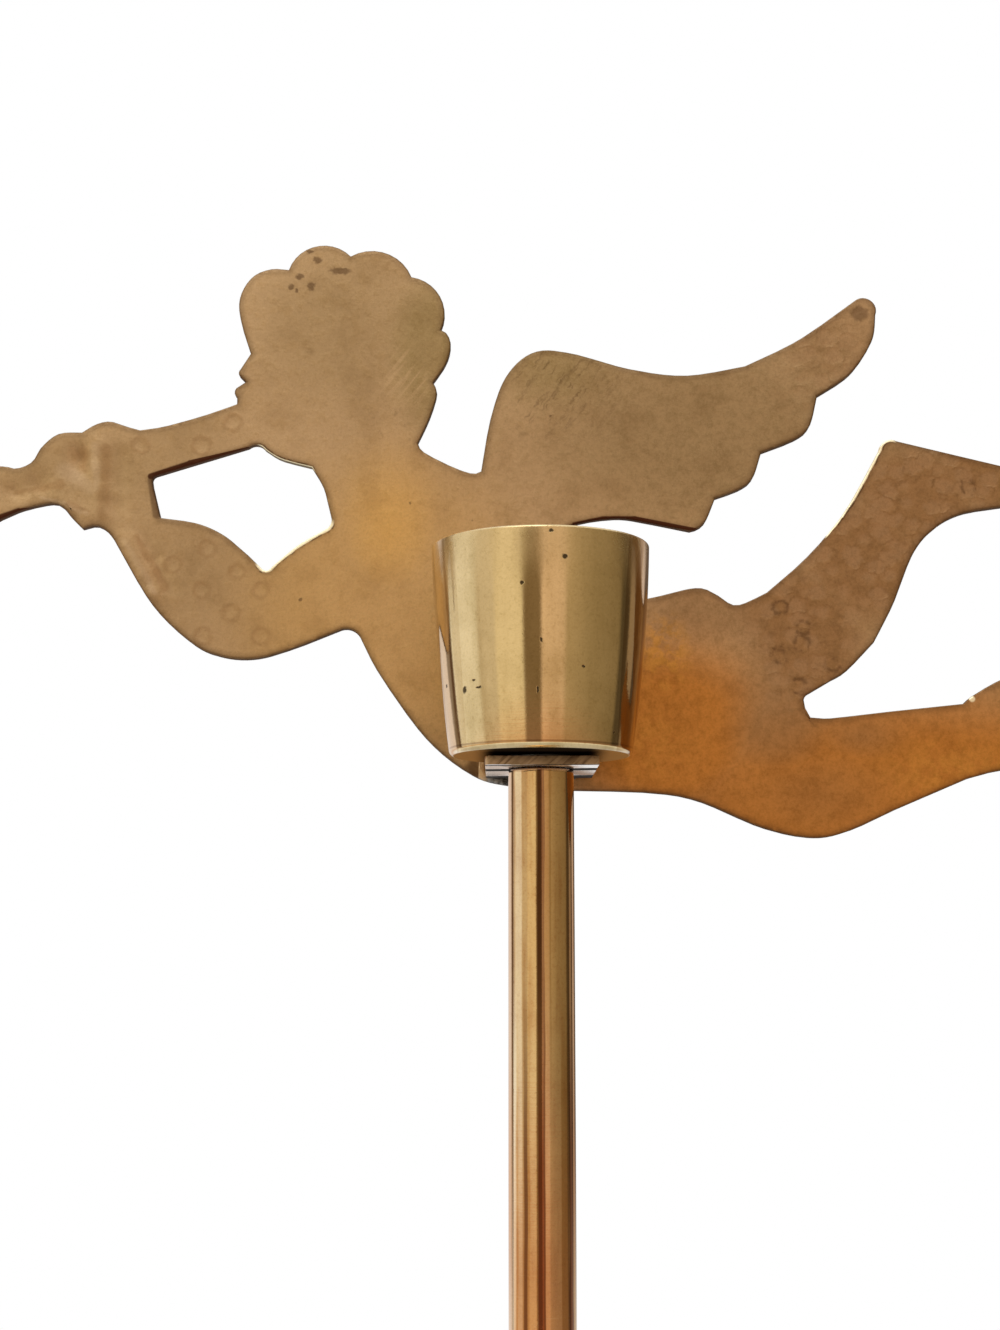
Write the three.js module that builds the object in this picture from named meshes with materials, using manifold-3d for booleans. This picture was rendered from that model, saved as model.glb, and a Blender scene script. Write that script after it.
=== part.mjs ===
// Angel candlestick: a flat sheet-brass angel blowing a trumpet stands behind a candle cup on a slim stem.
// A tie rod through the hollow stem draws the cup, the angel's bracket, the stem and the weighted foot together.
// Millimetres, +Z up, origin under the middle of the foot. The cup stands before the angel, on the -Y side.
import * as THREE from "three";
import { mergeVertices } from "three/addons/utils/BufferGeometryUtils.js";
import Module from "manifold-3d";

// Foot
const FOOT_RADIUS = 52;
const FOOT_HEIGHT = 14; // from the table to the seat of the stem
const FOOT_WALL = 1.2;
const FOOT_RIM_HEIGHT = 4.2; // upright band round the edge
const FOOT_RIM_ROUND = 1.4; // round of the band's upper edge
const FOOT_CROWN = 2.2; // how far the dome stands proud of a straight cone
const FOOT_LIFT = 0.8; // gap between the band and the table
const BOSS_RADIUS = 7.5; // flat seat under the stem
const BOSS_RISE = 2.4; // how far the seat stands up out of the dome
const FELT_THICKNESS = 2;
const FELT_GAP = 0.4; // between the felt and the band round it
const WEIGHT_GAP = 0.6; // between the weight and the shell

// Stem and the rod inside it
const STEM_RADIUS = 4;
const STEM_WALL = 1;
const STEM_LENGTH = 200;
const STEM_CHAMFER = 0.25;
const ROD_RADIUS = 2;
const ROD_CLEARANCE = 0.1; // between the rod and the holes that it passes through
const ROD_TAIL = 1; // length of rod past each nut
const ROD_CHAMFER = 0.4;
const NUT_FLATS = 7; // across the flats
const NUT_HEIGHT = 3.2;
const NUT_CHAMFER = 0.5;
const WASHER_RADIUS = 4.5;
const WASHER_THICKNESS = 0.8;
const POCKET_GAP = 1; // round the washer and below the rod in the weight's pocket

// Candle cup
const CUP_RIM_RADIUS = 13.45;
const CUP_BASE_RADIUS = 11.2;
const CUP_SWELL = 0.4; // how far the side stands proud of a straight taper
const CUP_HEIGHT = 26;
const CUP_WALL = 1;
const CUP_FLOOR = 1.2;
const CUP_CORNER = 1.1; // round of the bottom edge
const SPACER_RADIUS = 5;
const SPACER_THICKNESS = 0.4; // lifts the cup off the bracket

// Angel, its bracket and the solder that joins them
const FIGURE_LENGTH = 167.2; // from the trumpet's bell to the toes
const FIGURE_THICKNESS = 1.2;
const FIGURE_CLEARANCE = 0.4; // between the cup and what stands behind it
const BRACKET_WIDTH = 13.6;
const BRACKET_THICKNESS = 1.1;
const BRACKET_REACH = 6.5; // from the stem's axis to the front edge
const BRACKET_RISE = 12; // height of the upright leg
const BRACKET_BEND = 0.8; // inside radius of the bend
const SOLDER_FILM = 0.1; // between the upright leg and the angel
const SOLDER_SPREAD = 1; // how far the solder runs out round the leg
const SOLDER_DEPTH = 0.7;

// Running gap between pieces that turn on each other
const SWIVEL_GAP = 0.05;

// Fineness of the facets
const WIDE_SIDES = 56;
const SLIM_SIDES = 32;
const FACET_ANGLE = Math.PI / 16; // on round strokes
const FACET_LENGTH = 0.8; // on flowing strokes
const FLATNESS = 0.02; // how far a drawn outline may run from the true line
const MIN_STEPS = 4;

// Places that follow from the sizes
const rodHole = ROD_RADIUS + ROD_CLEARANCE;
const shellTop = FOOT_HEIGHT - FOOT_WALL;
const shellInside = FOOT_RADIUS - FOOT_WALL;
const bandTop = FOOT_LIFT + FOOT_RIM_HEIGHT;
const bandShoulder = bandTop - FOOT_RIM_ROUND;
const domeTop = FOOT_HEIGHT - BOSS_RISE;
const domeInside = domeTop - FOOT_WALL;
const bossFoot = BOSS_RADIUS + BOSS_RISE;
const pocketTop = FELT_THICKNESS + POCKET_GAP + ROD_TAIL + NUT_HEIGHT + WASHER_THICKNESS;
const footNutBottom = pocketTop - WASHER_THICKNESS - NUT_HEIGHT;
const rodBottom = footNutBottom - ROD_TAIL;
const stemTop = FOOT_HEIGHT + STEM_LENGTH;

// Heights above the stem's top
const bracketBottom = SWIVEL_GAP;
const bracketTop = bracketBottom + BRACKET_THICKNESS;
const legTop = bracketBottom + BRACKET_RISE;
const spacerBottom = bracketTop + SWIVEL_GAP;
const cupBottom = spacerBottom + SPACER_THICKNESS + SWIVEL_GAP;
const cupWasherBottom = cupBottom + CUP_FLOOR + SWIVEL_GAP;
const cupNutBottom = cupWasherBottom + WASHER_THICKNESS;
const rodTop = cupNutBottom + NUT_HEIGHT + ROD_TAIL;

// The angel stands clear of the cup's rim, and its bracket's leg clear of the cup's side
const cupSlope = (CUP_RIM_RADIUS - CUP_BASE_RADIUS) / CUP_HEIGHT;
const cupRadiusAtLegTop = CUP_BASE_RADIUS + CUP_SWELL + cupSlope * Math.max(legTop - cupBottom, 0);
const legDepth = BRACKET_THICKNESS + SOLDER_FILM;
const figureFront = Math.max(CUP_RIM_RADIUS, cupRadiusAtLegTop + legDepth) + FIGURE_CLEARANCE;

const wasm = await Module();
wasm.setup();

// Solids that are cut or joined

function solidOf(geometry) {
  const bare = geometry.clone();
  bare.deleteAttribute("normal");
  bare.deleteAttribute("uv");
  const merged = mergeVertices(bare);
  const vertProperties = merged.getAttribute("position").array;
  const triVerts = new Uint32Array(merged.index.array);
  return new wasm.Manifold(new wasm.Mesh({ numProp: 3, vertProperties, triVerts }));
}

function geometryOf(solid) {
  const { vertProperties, triVerts } = solid.getMesh();
  const geometry = new THREE.BufferGeometry();
  geometry.setAttribute("position", new THREE.BufferAttribute(vertProperties, 3));
  geometry.setIndex(new THREE.BufferAttribute(triVerts, 1));
  return geometry;
}

// A pen that draws strokes, each from where the last one ended, and keeps the places that they pass

class Pen {
  constructor(unit = 1) {
    this.unit = unit;
    this.places = [];
  }

  point([x, y]) {
    return new THREE.Vector2(x, y).multiplyScalar(this.unit);
  }

  trace(curve, steps) {
    this.places.push(...curve.getSpacedPoints(steps).slice(1));
    return this;
  }

  line(...places) {
    this.places.push(...places.map((place) => this.point(place)));
    return this;
  }

  // A round stretch that stands rise proud of its chord, on the left of the way it runs
  bow(place, rise) {
    const from = this.places.at(-1);
    const to = this.point(place);
    const chord = to.clone().sub(from);
    const steepness = (2 * rise * this.unit) / chord.length();
    const turn = 2 * Math.atan(steepness);
    const handle = ((2 / 3) * steepness) / Math.sin(turn);
    const centre = new THREE.Vector2();
    const leave = chord.clone().rotateAround(centre, turn).multiplyScalar(handle).add(from);
    const arrive = chord.clone().rotateAround(centre, -turn).multiplyScalar(-handle).add(to);
    const steps = Math.max(MIN_STEPS, Math.ceil((2 * Math.abs(turn)) / FACET_ANGLE));
    return this.trace(new THREE.CubicBezierCurve(from, leave, arrive, to), steps);
  }

  // A flowing stretch through hand-chosen places
  through(...places) {
    const curve = new THREE.SplineCurve([this.places.at(-1), ...places.map((place) => this.point(place))]);
    return this.trace(curve, Math.ceil(curve.getLength() / FACET_LENGTH));
  }
}

// Leaves out the places of an outline that lie on a straight stretch

function offLine(place, from, to) {
  const chord = to.clone().sub(from);
  return Math.abs(chord.cross(place.clone().sub(from))) / chord.length();
}

function thinned(places) {
  const kept = [places[0]];
  let passed = [];
  for (let i = 1; i < places.length; i += 1) {
    const next = places[(i + 1) % places.length];
    passed.push(places[i]);
    if (passed.some((place) => offLine(place, kept.at(-1), next) > FLATNESS)) {
      kept.push(places[i]);
      passed = [];
    }
  }
  return kept;
}

// Solids made by turning a profile of radius and height about the upright axis, drawn with the metal on its left

function turned(draw, sides) {
  const pen = new Pen();
  draw(pen);
  return new THREE.LatheGeometry(pen.places, sides).rotateX(Math.PI / 2);
}

function ring(inner, outer, height) {
  return turned(
    (pen) => pen.line([inner, 0], [outer, 0], [outer, height], [inner, height], [inner, 0]),
    SLIM_SIDES,
  );
}

// The angel is drawn in its own plane: x to the right of the stem's axis, y up from the stem's top.
// The strokes run clockwise, so a bow with a positive rise swells outwards.

function drawFace(pen) {
  pen.line([-40, 50.1], [-40, 51]).bow([-40.1, 52.3], 0.3).line([-38.9, 53.1], [-39.6, 53.8]);
  pen.bow([-39.6, 54.9], 0.25).line([-38.3, 57]);
}

function drawHair(pen) {
  pen.through([-39.4, 60.4], [-40, 63.6], [-39.5, 65.9], [-38, 67.9], [-35.7, 68.8], [-33.4, 68.7]);
  pen.bow([-25.1, 70.6], 2.4).bow([-16.9, 67.7], 2).bow([-12.9, 60.3], 2.1);
  pen.through([-12.1, 59.8], [-11.6, 58.5], [-11.8, 56.7], [-12.6, 54.9], [-13.9, 53]);
  pen.through([-13.4, 51.4], [-14.4, 48], [-15.9, 44.7]);
}

function drawWing(pen) {
  pen.through([-15.1, 43.5], [-11.5, 41.6], [-8.7, 40.6], [-7.5, 40.9]);
  pen.through([-6.2, 48.3], [-4.1, 54], [-0.5, 57.2], [4.4, 57.1], [12.3, 54.9], [19.8, 54], [27.7, 55.3]);
  pen.through([34.9, 58.9], [42.5, 64.3]).bow([45.3, 62.4], 1.35);
  pen.through([44.7, 58.7], [41.7, 54.2], [37.2, 51.1]);
  pen.through([36.1, 47], [34.1, 45.2], [29.6, 43.4]);
  pen.through([28.4, 39.9], [26.6, 38.4], [23.4, 37.2]);
  pen.through([22.2, 34.3], [21.2, 33.2], [20, 32.8]);
  pen.through([15.1, 33.8], [10.2, 34.5], [4.3, 33.5], [1.6, 31.2]).bow([3.2, 26.8], -1.2);
}

function drawRaisedLeg(pen) {
  pen.through([8.2, 24.1], [13.6, 23.7], [20.6, 25.2], [23.4, 24.3], [26, 22.9], [30, 24.6]);
  pen.through([34.4, 28.4], [37.9, 32.1], [41.2, 36.5], [45.3, 43.8]);
  pen.bow([47.6, 45], 0.7).line([66.4, 40.4]).bow([65.8, 36.6], 1.7);
  pen.through([60.8, 36], [55.8, 35.1], [52.2, 33.1], [49.3, 29.7], [46.5, 23], [43.8, 17.9]);
  pen.through([40.2, 14.2], [37.9, 12.8], [35, 11.1]).bow([34.5, 10.4], -0.1);
}

function drawStraightLeg(pen) {
  pen.line([34.8, 8.6]).bow([35.5, 8.1], -0.15).through([38, 8], [44, 8.7], [55.3, 9.9]);
  pen.through([56.6, 11], [59.9, 12.9], [63, 14.2]).bow([65.6, 14.1], 0.4);
  pen.line([79.6, 9]).bow([78.4, 5.1], 1.8).through([72, 3], [65, 1.9], [59.2, 1.1], [55.4, 0.1]);
}

function drawBelly(pen) {
  pen.through([46.2, -3.8], [40, -6.6], [35.2, -7.5], [28.8, -6.2], [20.7, -2.8], [14.5, -1.7], [4.7, -1.4]);
  pen.through([-4.4, -0.7], [-9.1, 0.9], [-14.7, 5.5], [-20.6, 13.6], [-23.3, 18.7]);
  pen.bow([-26.1, 19.5], -0.6);
}

function drawArm(pen) {
  pen.through([-32.2, 17.1], [-37, 15.8], [-41.4, 16.1], [-45.3, 17.9], [-50.6, 23], [-55.8, 31.6]);
  pen.through([-56.8, 32.8], [-58.2, 33.5], [-60, 33.1]);
  pen.through([-61.4, 34.5], [-62.6, 35.9], [-64.1, 36.5], [-67.9, 35.7], [-70.9, 34.4]);
}

function drawTrumpet(pen) {
  pen.through([-75.4, 31.4], [-79.3, 28], [-81.6, 25.4]).bow([-86.4, 43], 0.9);
  pen.through([-78.2, 41.9], [-71, 41.6], [-69, 41.3], [-67, 42.2], [-65.8, 44.2], [-63.6, 46], [-60.5, 46.2]);
  pen.through([-58.7, 47.3], [-56.8, 47.7], [-54.6, 47], [-52.8, 46.5]);
  pen.through([-49.6, 47], [-44.7, 48.4], [-41, 49.7]);
}

// The loop between the trumpet, the chest and the bent arm
function drawArmLoop(pen) {
  pen.line([-44.3, 42.2], [-38.3, 44.1]).bow([-36.1, 43.8], 0.5);
  pen.through([-34.6, 42.8], [-33.1, 42.2], [-29.9, 41.4]);
  pen.through([-28.3, 38.6], [-27.3, 34.8]).bow([-28.1, 33], 0.4);
  pen.through([-31.5, 31], [-35, 28]).bow([-36.4, 27.9], 0.4);
  pen.through([-38.6, 30], [-41.6, 32.4], [-45.1, 33.9], [-49.8, 34.6]);
  pen.through([-50.8, 38.5], [-51, 39.5]).bow([-50.4, 40.3], 0.2);
}

const figureStrokes = [
  drawFace,
  drawHair,
  drawWing,
  drawRaisedLeg,
  drawStraightLeg,
  drawBelly,
  drawArm,
  drawTrumpet,
];

function drawFigure(unit) {
  const pen = new Pen(unit);
  figureStrokes.forEach((stroke) => stroke(pen));
  return thinned(pen.places);
}

function figureOutline() {
  const drawn = new THREE.Box2().setFromPoints(drawFigure(1));
  const unit = FIGURE_LENGTH / (drawn.max.x - drawn.min.x);
  const outline = new THREE.Shape(drawFigure(unit));
  const loop = new Pen(unit);
  drawArmLoop(loop);
  outline.holes.push(new THREE.Path(thinned(loop.places).reverse())); // a hole runs the other way round
  return outline;
}

// Stands a drawing up in the plane of the angel, with its thickness running back from y
function standing(shape, y, thickness) {
  const plate = new THREE.ExtrudeGeometry(shape, { depth: thickness, bevelEnabled: false });
  return plate.rotateX(Math.PI / 2).translate(0, y + thickness, 0);
}

// Foot pieces, measured from the table

function feltPad() {
  const radius = shellInside - FELT_GAP;
  return turned(
    (pen) => pen.line([0, 0], [radius, 0], [radius, FELT_THICKNESS], [0, FELT_THICKNESS]),
    WIDE_SIDES,
  );
}

function footShell() {
  return turned((pen) => {
    pen.line([rodHole, shellTop], [BOSS_RADIUS, shellTop], [bossFoot, domeInside]);
    pen.bow([shellInside, bandShoulder], FOOT_CROWN).line([shellInside, FOOT_LIFT]);
    pen.line([FOOT_RADIUS, FOOT_LIFT], [FOOT_RADIUS, bandShoulder]);
    pen.bow([FOOT_RADIUS - FOOT_RIM_ROUND, bandTop], -FOOT_RIM_ROUND * (1 - Math.SQRT1_2));
    pen.bow([bossFoot, domeTop], -FOOT_CROWN).bow([BOSS_RADIUS, FOOT_HEIGHT], BOSS_RISE / 5);
    pen.line([rodHole, FOOT_HEIGHT], [rodHole, shellTop]);
  }, WIDE_SIDES);
}

function footWeight() {
  const radius = shellInside - WEIGHT_GAP;
  const pocket = WASHER_RADIUS + POCKET_GAP;
  return turned((pen) => {
    pen.line([rodHole, pocketTop], [pocket, pocketTop], [pocket, FELT_THICKNESS]);
    pen.line([radius, FELT_THICKNESS], [radius, bandShoulder - WEIGHT_GAP]);
    pen.line([bossFoot - WEIGHT_GAP, domeInside - WEIGHT_GAP], [BOSS_RADIUS - WEIGHT_GAP, shellTop]);
    pen.line([rodHole, shellTop], [rodHole, pocketTop]);
  }, WIDE_SIDES);
}

// Hardware

function hexNut() {
  const corner = NUT_FLATS / Math.sqrt(3);
  const blank = new THREE.CylinderGeometry(corner, corner, NUT_HEIGHT, 6);
  blank.rotateX(Math.PI / 2).translate(0, 0, NUT_HEIGHT / 2);
  const shaved = turned((pen) => {
    pen.line([rodHole, 0], [corner - NUT_CHAMFER, 0], [corner, NUT_CHAMFER]);
    pen.line([corner, NUT_HEIGHT - NUT_CHAMFER], [corner - NUT_CHAMFER, NUT_HEIGHT]);
    pen.line([rodHole, NUT_HEIGHT], [rodHole, 0]);
  }, SLIM_SIDES);
  return geometryOf(solidOf(blank).intersect(solidOf(shaved)));
}

function washer() {
  return ring(rodHole, WASHER_RADIUS, WASHER_THICKNESS);
}

function spacer() {
  return ring(rodHole, SPACER_RADIUS, SPACER_THICKNESS);
}

function tieRod() {
  const length = stemTop + rodTop - rodBottom;
  const tip = ROD_RADIUS - ROD_CHAMFER;
  return turned((pen) => {
    pen.line([0, 0], [tip, 0], [ROD_RADIUS, ROD_CHAMFER]);
    pen.line([ROD_RADIUS, length - ROD_CHAMFER], [tip, length], [0, length]);
  }, SLIM_SIDES);
}

// Stem and cup

function stemTube() {
  const bore = STEM_RADIUS - STEM_WALL;
  const face = STEM_RADIUS - STEM_CHAMFER;
  return turned((pen) => {
    pen.line([bore, 0], [face, 0], [STEM_RADIUS, STEM_CHAMFER]);
    pen.line([STEM_RADIUS, STEM_LENGTH - STEM_CHAMFER], [face, STEM_LENGTH]);
    pen.line([bore, STEM_LENGTH], [bore, 0]);
  }, SLIM_SIDES);
}

function candleCup() {
  const lip = CUP_WALL / 2;
  const cornerTop = CUP_BASE_RADIUS + cupSlope * CUP_CORNER;
  const insideFoot = CUP_BASE_RADIUS + cupSlope * CUP_FLOOR - CUP_WALL;
  return turned((pen) => {
    pen.line([rodHole, 0], [CUP_BASE_RADIUS - CUP_CORNER, 0]);
    pen.bow([cornerTop, CUP_CORNER], -CUP_CORNER * (1 - Math.SQRT1_2));
    pen.bow([CUP_RIM_RADIUS, CUP_HEIGHT - lip], -CUP_SWELL);
    pen.bow([CUP_RIM_RADIUS - CUP_WALL, CUP_HEIGHT - lip], -lip).bow([insideFoot, CUP_FLOOR], CUP_SWELL);
    pen.line([rodHole, CUP_FLOOR], [rodHole, 0]);
  }, WIDE_SIDES);
}

// Angel, bracket and solder, in a frame with its origin on the stem's axis at the stem's top

function angelFigure() {
  return standing(figureOutline(), figureFront, FIGURE_THICKNESS);
}

// The bracket's side view, with the way back along x, swollen by grow to clear the solder
function bracketSide(grow) {
  const front = -BRACKET_REACH - grow;
  const back = figureFront - SOLDER_FILM + grow;
  const low = bracketBottom - grow;
  const high = legTop + grow;
  const depth = BRACKET_THICKNESS + 2 * grow;
  const outside = BRACKET_BEND + BRACKET_THICKNESS + grow;
  const inside = BRACKET_BEND - grow;
  const swell = 1 - Math.SQRT1_2;
  const pen = new Pen().line([front, low], [back - outside, low]);
  pen.bow([back, low + outside], -outside * swell).line([back, high], [back - depth, high]);
  pen.line([back - depth, low + outside]).bow([back - outside, low + depth], inside * swell);
  return new THREE.Shape(pen.line([front, low + depth]).places);
}

function bracketBlank(grow) {
  const width = BRACKET_WIDTH + 2 * grow;
  const strip = new THREE.ExtrudeGeometry(bracketSide(grow), { depth: width, bevelEnabled: false });
  const along = new THREE.Vector3(1, 0, 0);
  const back = new THREE.Vector3(0, 1, 0);
  const up = new THREE.Vector3(0, 0, 1);
  strip.applyMatrix4(new THREE.Matrix4().makeBasis(back, up, along)).translate(-width / 2, 0, 0);
  return solidOf(strip);
}

function figureBracket() {
  const drill = new THREE.CylinderGeometry(rodHole, rodHole, BRACKET_THICKNESS * 3, SLIM_SIDES);
  drill.rotateX(Math.PI / 2).translate(0, 0, bracketBottom);
  return geometryOf(bracketBlank(0).subtract(solidOf(drill)));
}

// Solder run out round the bracket's upright leg, kept to the angel's own outline
function bracketSolder() {
  const side = BRACKET_WIDTH / 2;
  const wide = side + SOLDER_SPREAD;
  const low = bracketBottom - SOLDER_SPREAD;
  const high = legTop + SOLDER_SPREAD;
  const round = SOLDER_SPREAD / 4;
  const pen = new Pen().line([0, low], [-side, low]).bow([-wide, bracketBottom], round);
  pen.line([-wide, legTop]).bow([-side, high], round).line([side, high]).bow([wide, legTop], round);
  pen.line([wide, bracketBottom]).bow([side, low], round);
  const run = new THREE.Shape(pen.places);
  const pool = solidOf(standing(run, figureFront - SOLDER_DEPTH, SOLDER_DEPTH));
  const sheet = solidOf(standing(figureOutline(), figureFront - 2 * SOLDER_DEPTH, 3 * SOLDER_DEPTH));
  return geometryOf(pool.intersect(sheet).subtract(bracketBlank(SOLDER_FILM)));
}

// Materials

function finish(color, roughness, metalness) {
  return new THREE.MeshStandardMaterial({ color, roughness, metalness });
}

const sheetBrass = finish(0xb08a58, 0.42, 1);
const polishedBrass = finish(0xc2a060, 0.22, 1);
const spunBrass = finish(0xb8935a, 0.28, 1);
const solder = finish(0x8f8d88, 0.45, 1);
const steel = finish(0xa9abad, 0.35, 1);
const iron = finish(0x3f4042, 0.7, 0.8);
const felt = finish(0x2c4a36, 0.95, 0);

// Assembly

function piece(name, geometry, material, height = 0) {
  const mesh = new THREE.Mesh(geometry, material);
  mesh.name = name;
  mesh.position.z = height;
  return mesh;
}

const foot = new THREE.Group();
foot.add(
  piece("foot_felt", feltPad(), felt),
  piece("foot_weight", footWeight(), iron),
  piece("foot_shell", footShell(), spunBrass),
  piece("foot_washer", washer(), steel, pocketTop - WASHER_THICKNESS),
  piece("foot_nut", hexNut(), steel, footNutBottom),
  piece("tie_rod", tieRod(), steel, rodBottom),
  piece("stem_tube", stemTube(), polishedBrass, FOOT_HEIGHT),
);

const head = new THREE.Group();
head.position.z = stemTop;
head.add(
  piece("angel_figure", angelFigure(), sheetBrass),
  piece("figure_bracket", figureBracket(), sheetBrass),
  piece("bracket_solder", bracketSolder(), solder),
  piece("spacer_washer", spacer(), steel, spacerBottom),
  piece("candle_cup", candleCup(), polishedBrass, cupBottom),
  piece("cup_washer", washer(), steel, cupWasherBottom),
  piece("cup_nut", hexNut(), steel, cupNutBottom),
);

const candlestick = new THREE.Group();
candlestick.add(foot, head);

export default candlestick;
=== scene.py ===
"""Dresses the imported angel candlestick: turned brass, a hand-sawn sheet angel and a plain white studio."""

import functools
import math
import operator

import bpy
from bpy.props import FloatProperty, FloatVectorProperty, IntProperty, PointerProperty
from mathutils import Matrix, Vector, kdtree


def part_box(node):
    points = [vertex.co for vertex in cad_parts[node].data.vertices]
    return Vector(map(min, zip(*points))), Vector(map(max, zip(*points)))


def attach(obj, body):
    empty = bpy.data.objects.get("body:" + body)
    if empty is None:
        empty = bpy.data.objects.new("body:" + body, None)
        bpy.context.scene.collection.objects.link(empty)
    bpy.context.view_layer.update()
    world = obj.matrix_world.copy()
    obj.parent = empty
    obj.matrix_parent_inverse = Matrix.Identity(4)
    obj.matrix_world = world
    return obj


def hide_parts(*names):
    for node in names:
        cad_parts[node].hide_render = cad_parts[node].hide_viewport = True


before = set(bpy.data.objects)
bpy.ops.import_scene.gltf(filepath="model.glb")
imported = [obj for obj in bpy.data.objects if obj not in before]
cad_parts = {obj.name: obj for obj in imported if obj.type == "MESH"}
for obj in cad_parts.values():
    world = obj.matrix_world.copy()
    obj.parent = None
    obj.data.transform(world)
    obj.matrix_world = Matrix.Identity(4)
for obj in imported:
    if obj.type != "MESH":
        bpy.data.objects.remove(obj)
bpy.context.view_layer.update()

bl_info = {
    "name": "Angel Candlestick",
    "version": (1, 0, 0),
    "blender": (4, 5, 0),
    "location": "View3D > Sidebar > Candlestick",
    "description": "Models a brass angel candlestick over its packed frame",
    "category": "Add Mesh",
}

MM = 0.001
MERGE = 0.001 * MM  # places nearer to each other than this are one
SLIVER = 0.002 * MM  # shortest edge that a rounding may leave
TOUCH = 0.01 * MM  # places nearer to a side than this lie on it
QUARTER_RISE = 1 - math.sqrt(0.5)  # how far a quarter round of radius 1 stands proud of its chord
SMOOTH_ANGLE = math.radians(35)
FLAT_ANGLE = math.radians(0.5)  # facets that meet at less than this are one flat face
# How far a face's normal points along the sheet's depth
FLAT = 0.99
NEARLY_FLAT = 0.9
LEANING = 0.7
UNDERSIDE_GAIN = 1.6  # how soon an edge that faces down counts as an underside
# Places on a round stretch of a profile
LIP_STEPS = 5
INNER_CORNER_STEPS = 6
CORNER_STEPS = 8
INNER_DOME_STEPS = 18
SIDE_STEPS = 24
BOSS_HOLLOW = 0.2  # how far the side of the stem's seat is hollow, as a share of its rise
SPARE_TURNS = 2  # thread past the rod's ends, which is cut off there
STEM_LOW, STEM_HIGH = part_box("stem_tube")
CUP_LOW, CUP_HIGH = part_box("candle_cup")
SHELL_LOW, SHELL_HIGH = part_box("foot_shell")
FELT_LOW, FELT_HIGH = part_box("foot_felt")
FIGURE_LOW, FIGURE_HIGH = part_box("angel_figure")
SOLDER_LOW, SOLDER_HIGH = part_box("bracket_solder")
ROD_LOW, ROD_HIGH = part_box("tie_rod")
STEM_TOP = STEM_HIGH.z

# Marks on the sheet, in millimetres right of the stem's axis and above its top
ARM_MARKS = (
    (-40.5, 47.6), (-44.6, 44.5), (-52.7, 44.5), (-48.0, 28.3), (-43.5, 30.6), (-44.1, 25.0),
    (-40.3, 22.0), (-36.4, 25.0), (-43.9, 18.9), (-36.2, 18.9), (-39.6, 27.5),
)
LEG_MARKS = (
    (31.7, 22.6), (34.5, 20.0), (34.5, 17.8), (31.5, 16.2), (33.9, 12.2), (38.3, 15.0), (42.1, 17.8),
    (42.1, 24.4), (34.8, 25.4), (40.0, 28.0), (43.6, 27.4), (48.6, 39.6), (56.9, 38.8), (53.0, 36.5),
    (47.6, 33.4), (43.6, 36.9), (39.3, 21.3), (55.4, 42.3), (42.2, 31.5), (45.5, 24.7),
)
LEG_RINGS = (*LEG_MARKS[:6], LEG_MARKS[12])  # those with a dark ring round them
WING_MARKS = (
    (42.9, 63.0), (39.7, 60.1), (41.1, 57.1), (37.9, 57.1), (36.5, 53.9), (38.9, 54.5), (34.2, 51.4),
    (35.6, 49.1),
)
# Creases over the hands, the trumpet and the arm: from, to, and
# the share of the full height that each step presses
CREASES = (
    ((-58.2, 44.1), (-57.7, 35.6), -0.35),
    ((-55.6, 43.5), (-55.2, 36.6), 0.25),
    ((-60.3, 43.4), (-60.3, 41.6), 0.4),
    ((-65.4, 39.4), (-69.5, 38.0), 0.3),
    ((-53.6, 31.6), (-50.4, 24.8), -0.35),
    ((-51.6, 31.0), (-48.6, 25.2), 0.25),
    ((-63.2, 37.8), (-59.8, 34.9), -0.2),
)
CREASE_STEPS = 3
MARK_REACH = 1.6  # how far round a hammer mark the sheet has finer cells, in radii of the mark
MARK_CUTS = 3
# Painted shade in the folds, and painted highlights on their backs: from, to, and width at both
FOLD_SHADE = (
    ((-57.3, 43.8), (-56.9, 36.3), 1.2, 1.0),
    ((-60.1, 43.6), (-60.0, 41.2), 1.2, 1.0),
    ((-69.0, 37.9), (-63.1, 39.1), 0.5, 0.9),
    ((-57.5, 37.6), (-57.6, 34.9), 1.3, 1.1),
    ((-62.1, 36.6), (-59.3, 35.4), 0.5, 0.4),
    ((-53.0, 32.2), (-49.0, 25.4), 0.5, 0.8),
)
FOLD_HIGHLIGHTS = (
    ((-58.7, 44.4), (-58.3, 38.4), 0.9, 0.8),
    ((-65.5, 37.3), (-62.7, 36.7), 0.4, 0.5),
    ((-62.7, 36.7), (-59.6, 35.2), 0.5, 0.6),
    ((-62.6, 41.0), (-59.0, 38.6), 1.8, 1.4),
    ((-54.4, 31.4), (-50.4, 24.8), 0.7, 0.8),
)
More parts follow.
